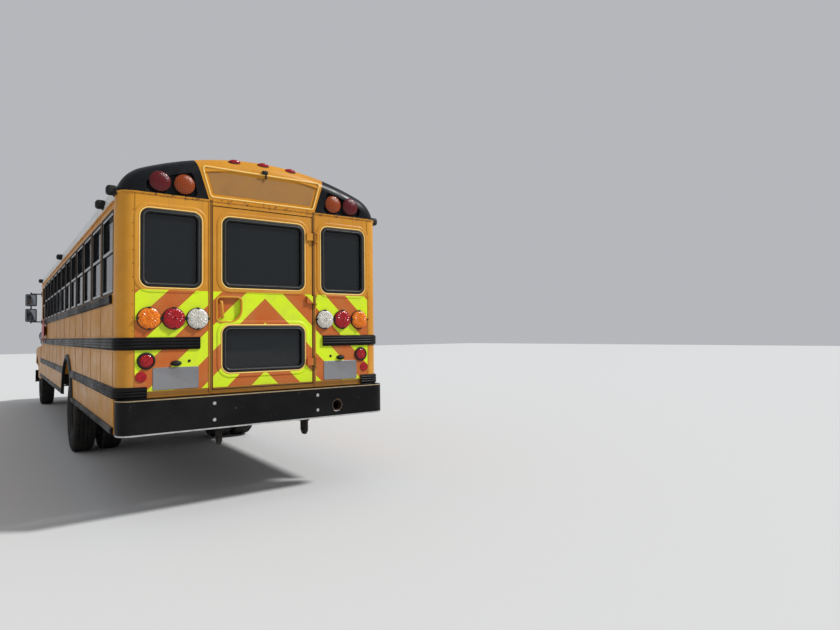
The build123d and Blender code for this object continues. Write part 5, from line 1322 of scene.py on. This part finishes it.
def stop_sign():
    """A blank red octagon with a white border on both faces, and a lamp above and below."""
    x, y, z = -1.263, 2.177, 1.65
    faces = ((0.013, -1), (0.001, 1))  # how far to the left, facing
    blade, border, lenses, rims, eye = (Shape() for k in range(5))
    reach = 0.229 / cos(pi / 8)
    corners = [(y + reach * cos(pi / 8 + t), z + reach * sin(pi / 8 + t)) for t in turns(8)]
    section = ((0.001, 0.003), (0.004, 0), (0.01, 0), (0.013, 0.003))
    blade.loft(loop_rows(corners, 0.012, section, lambda u, v, at: (x - at, u, v), 3), cap=True)
    blade.box((x - 0.0135, 2.4, 1.592), (x - 0.0005, 2.512, 1.708))
    section = ((-0.001, 0.007), (0.0006, 0.007), (0.0006, 0.027), (-0.001, 0.027))
    lens_edge = [(0.03, -0.001), (0.03, 0.004), (0.024, 0.01), (0.01, 0.0125), (0.002, 0.013)]
    rim_edge = [(0.028, -0.001), (0.036, -0.001), (0.036, 0.004), (0.031, 0.006), (0.028, 0.004)]
    for at, way in faces:
        border.loop(loop_rows(corners, 0.012, section, lambda u, v, proud: (x - at + way * proud, u, v), 3))
    for up in (-0.165, 0.165):
        for at, way in faces:
            lenses.revolve((x - at, y, z + up), (way, 0, 0), lens_edge)
            rims.revolve((x - at, y, z + up), (way, 0, 0), rim_edge)
    rounded_box(eye, (-1.262, 2.526, z), (0.029, 0.023, 0.128), 0.006)
    piece("stop_blade", blade, "sign_red", "stop_arm", "stop_arm")
    piece("stop_border", border, "border", "stop_arm")
    piece("stop_lamps", lenses, "red", "stop_arm")
    piece("stop_lamp_rims", rims, "rubber", "stop_arm")
    piece("stop_hinge_eye", eye, "trim", "stop_arm")


def front_details():
    """Rounded solids, windshield trim, headlamps, signals, wipers and the entry door's seals."""
    softened("hood", "yellow", 0.04, 5, 12, outer_hood_edge)
    for node, look, width, segments in (
        ("grille", "trim", 0.003, 3), ("front_bumper", "bumper", 0.004, 2),
        ("rear_hatch_lid", "white", 0.006, 3), ("front_hatch_lid", "white", 0.006, 3),
        ("dashboard", "trim", 0.025, 3), ("battery_box", "chassis", 0.012, 3),
        ("stop_arm_base", "trim", 0.004, 2),
    ):
        softened(node, look, width, segments)
    panes = [((-1.06, -0.03), (1.69, 2.56)), ((0.03, 1.06), (1.69, 2.56))]
    window_trim("windshield", panes, 0.05, "bus_body", on_windshield, flange=False)
    bezels, bowls, signals, wipers = Shape(), Shape(), Shape(), Shape()
    corners = ((0.622, 0.942), (0.798, 0.942), (0.798, 1.05), (0.76, 1.098), (0.64, 1.098), (0.622, 1.08))
    rim = ((5.8, 0.0), (5.82, 0.0), (5.8245, 0.004), (5.8245, 0.012), (5.818, 0.016), (5.8, 0.016))
    bowl = ((5.801, 0.014), (5.817, 0.014), (5.821, 0.022), (5.823, 0.04))
    arm, blade = ((0.3, 1.665), (0.46, 1.86), (0.62, 2.05)), ((0.42, 2.22), (0.62, 2.05), (0.78, 1.9))
    for side in sides:
        place = lambda u, v, y: (side * u, y, v)
        bezels.loop(loop_rows(corners, 0.018, rim, place))
        bowls.loft(loop_rows(corners, 0.018, bowl, place), cap=True)
        rounded_box(signals, (side * 0.9, 5.792, 1.02), (0.085, 0.022, 0.06), 0.01)
        pole(wipers, [on_windshield(side * u, v, 0.028) for u, v in arm], 0.006)
        pole(wipers, [on_windshield(side * u, v, 0.016) for u, v in blade], 0.007)
    piece("headlamp_bezels", bezels, "bright", "hood")
    piece("headlamp_lenses", bowls, "clear", "hood", "headlamps")
    piece("turn_signals", signals, "amber", "hood")
    piece("wipers", wipers, "trim")
    for word, pane, edge in (("front", (3.052, 3.298), 2.995), ("rear", (2.68, 2.926), 2.983)):
        seals = Shape()
        for z in ((0.56, 1.42), (1.5, 2.44)):
            loop = rounded_path(pane, z, 0.022)
            loop_ring(seals, loop, bead(0.026, 0.008), lambda u, v, proud: (side_x + proud, u, v))
        seals.box((1.178, edge - 0.004, 0.41), (1.222, edge + 0.004, 2.505))
        piece(f"entry_seals_{word}", seals, "rubber", f"entry_leaf_{word}")


# Inside and roof
def step_treads():
    """Ribbed rubber mats on the three entry steps and along the aisle."""
    mats = Shape()
    tread, rise, ribs = 0.155, 0.2067, 6
    for i in range(3):
        x, z = 1.165 - tread * i, 0.43 + rise * i
        mats.box((x - 0.125, 2.64, z - 0.002), (x, 3.338, z + 0.003))
        for k in range(ribs):
            edge = x - 0.01 - 0.021 * k
            mats.box((edge - 0.006, 2.646, z + 0.002), (edge, 3.332, z + 0.0055))
    mats.box((-0.17, -5.55, 1.048), (0.17, 3.3, 1.0535))
    for k in range(12):
        x = -0.158 + 0.0281 * k
        mats.box((x, -5.54, 1.053), (x + 0.008, 3.29, 1.0555))
    piece("step_mats", mats, "rubber", angle=None)


def steering_wheel():
    """The rim, the hub, three spokes and the column."""
    ring = Shape()
    centre, lean, radius, thickness = Vector((-0.66, 3.33, 1.56)), radians(50), 0.22, 0.0135
    axis, side = Vector((0, -cos(lean), sin(lean))), Vector(rightward)
    other = axis.cross(side)
    tube = [(radius + thickness * cos(t), thickness * sin(t)) for t in turns(14)]
    ring.loop([circle(centre + axis * a, side, other, r, 64) for r, a in tube])
    hub = [(0.004, -0.03), (0.045, -0.03), (0.052, -0.01), (0.045, 0.006), (0.02, 0.012), (0.004, 0.012)]
    ring.revolve(centre, axis, hub)
    for t in turns(3):
        way = side * cos(t) + other * sin(t)
        low = centre - axis * 0.006
        pole(ring, [low + way * 0.04, low + way * 0.13, centre + way * 0.218], 0.01)
    pole(ring, [centre - axis * 0.02, centre - axis * 0.2], 0.028)
    piece("steering_wheel_ring", ring, "trim", stands_for="steering_wheel")


def roof_rows():
    """Rivet rows across the roof over each body bow, apart from the two hatches."""
    points = Shape()
    last = 56
    hatches_y, half_length, half_width = (-3.7, 0.7), 0.36, 0.34
    for i in range(window_count + 1):
        y = rear_post_y + window_pitch * i
        for k in range(last + 1):
            share = 0.03 + 0.94 * k / last
            x, z = outline_point(0, share)
            ahead = outline_point(0, share + 0.001)
            at_hatch = any(abs(y - hatch_y) < half_length for hatch_y in hatches_y)
            if not (at_hatch and abs(x) < half_width):
                rivets(points, [(x, y, z)], 0.006, 0.0022, (z - ahead[1], 0, ahead[0] - x))
    piece("roof_rivets", points, "white")


# Studio
def studio():
    floor_size, floor_colour = 120, (0.64, 0.64, 0.63)
    sky_colour, sky_strength = (0.93, 0.95, 1.0, 1), 0.5
    sun_strength, sun_spread, sun_lean, sun_turn = 3.0, radians(7), radians(46.4), radians(55)
    bpy.ops.mesh.primitive_plane_add(size=floor_size, location=(0, 0, 0))
    floor = bpy.context.object
    floor.name = "floor"
    floor.data.materials.append(Maker("floor_paint", floor_colour, 0.9).mat)
    world = bpy.data.worlds.new("studio")
    scene.world = world
    world.use_nodes = True
    back = world.node_tree.nodes["Background"]
    back.inputs["Color"].default_value = sky_colour
    back.inputs["Strength"].default_value = sky_strength
    sun = bpy.data.lights.new("key", "SUN")
    sun.energy = sun_strength
    sun.angle = sun_spread
    new_object("key", sun).rotation_euler = (sun_lean, 0, sun_turn)


build_materials()
dress_nodes()
photo_camera()
studio()
rub_rails()
lamps()
end_cap("rear", rear_face_y, 1)
end_cap("front", front_cap_y, -1)
open_exhaust()
header_lip()
rear_details()
side_details()
wheels()
seats()
mirror_heads()
crossview_mirrors()
stop_sign()
front_details()
steering_wheel()
step_treads()
roof_rows()
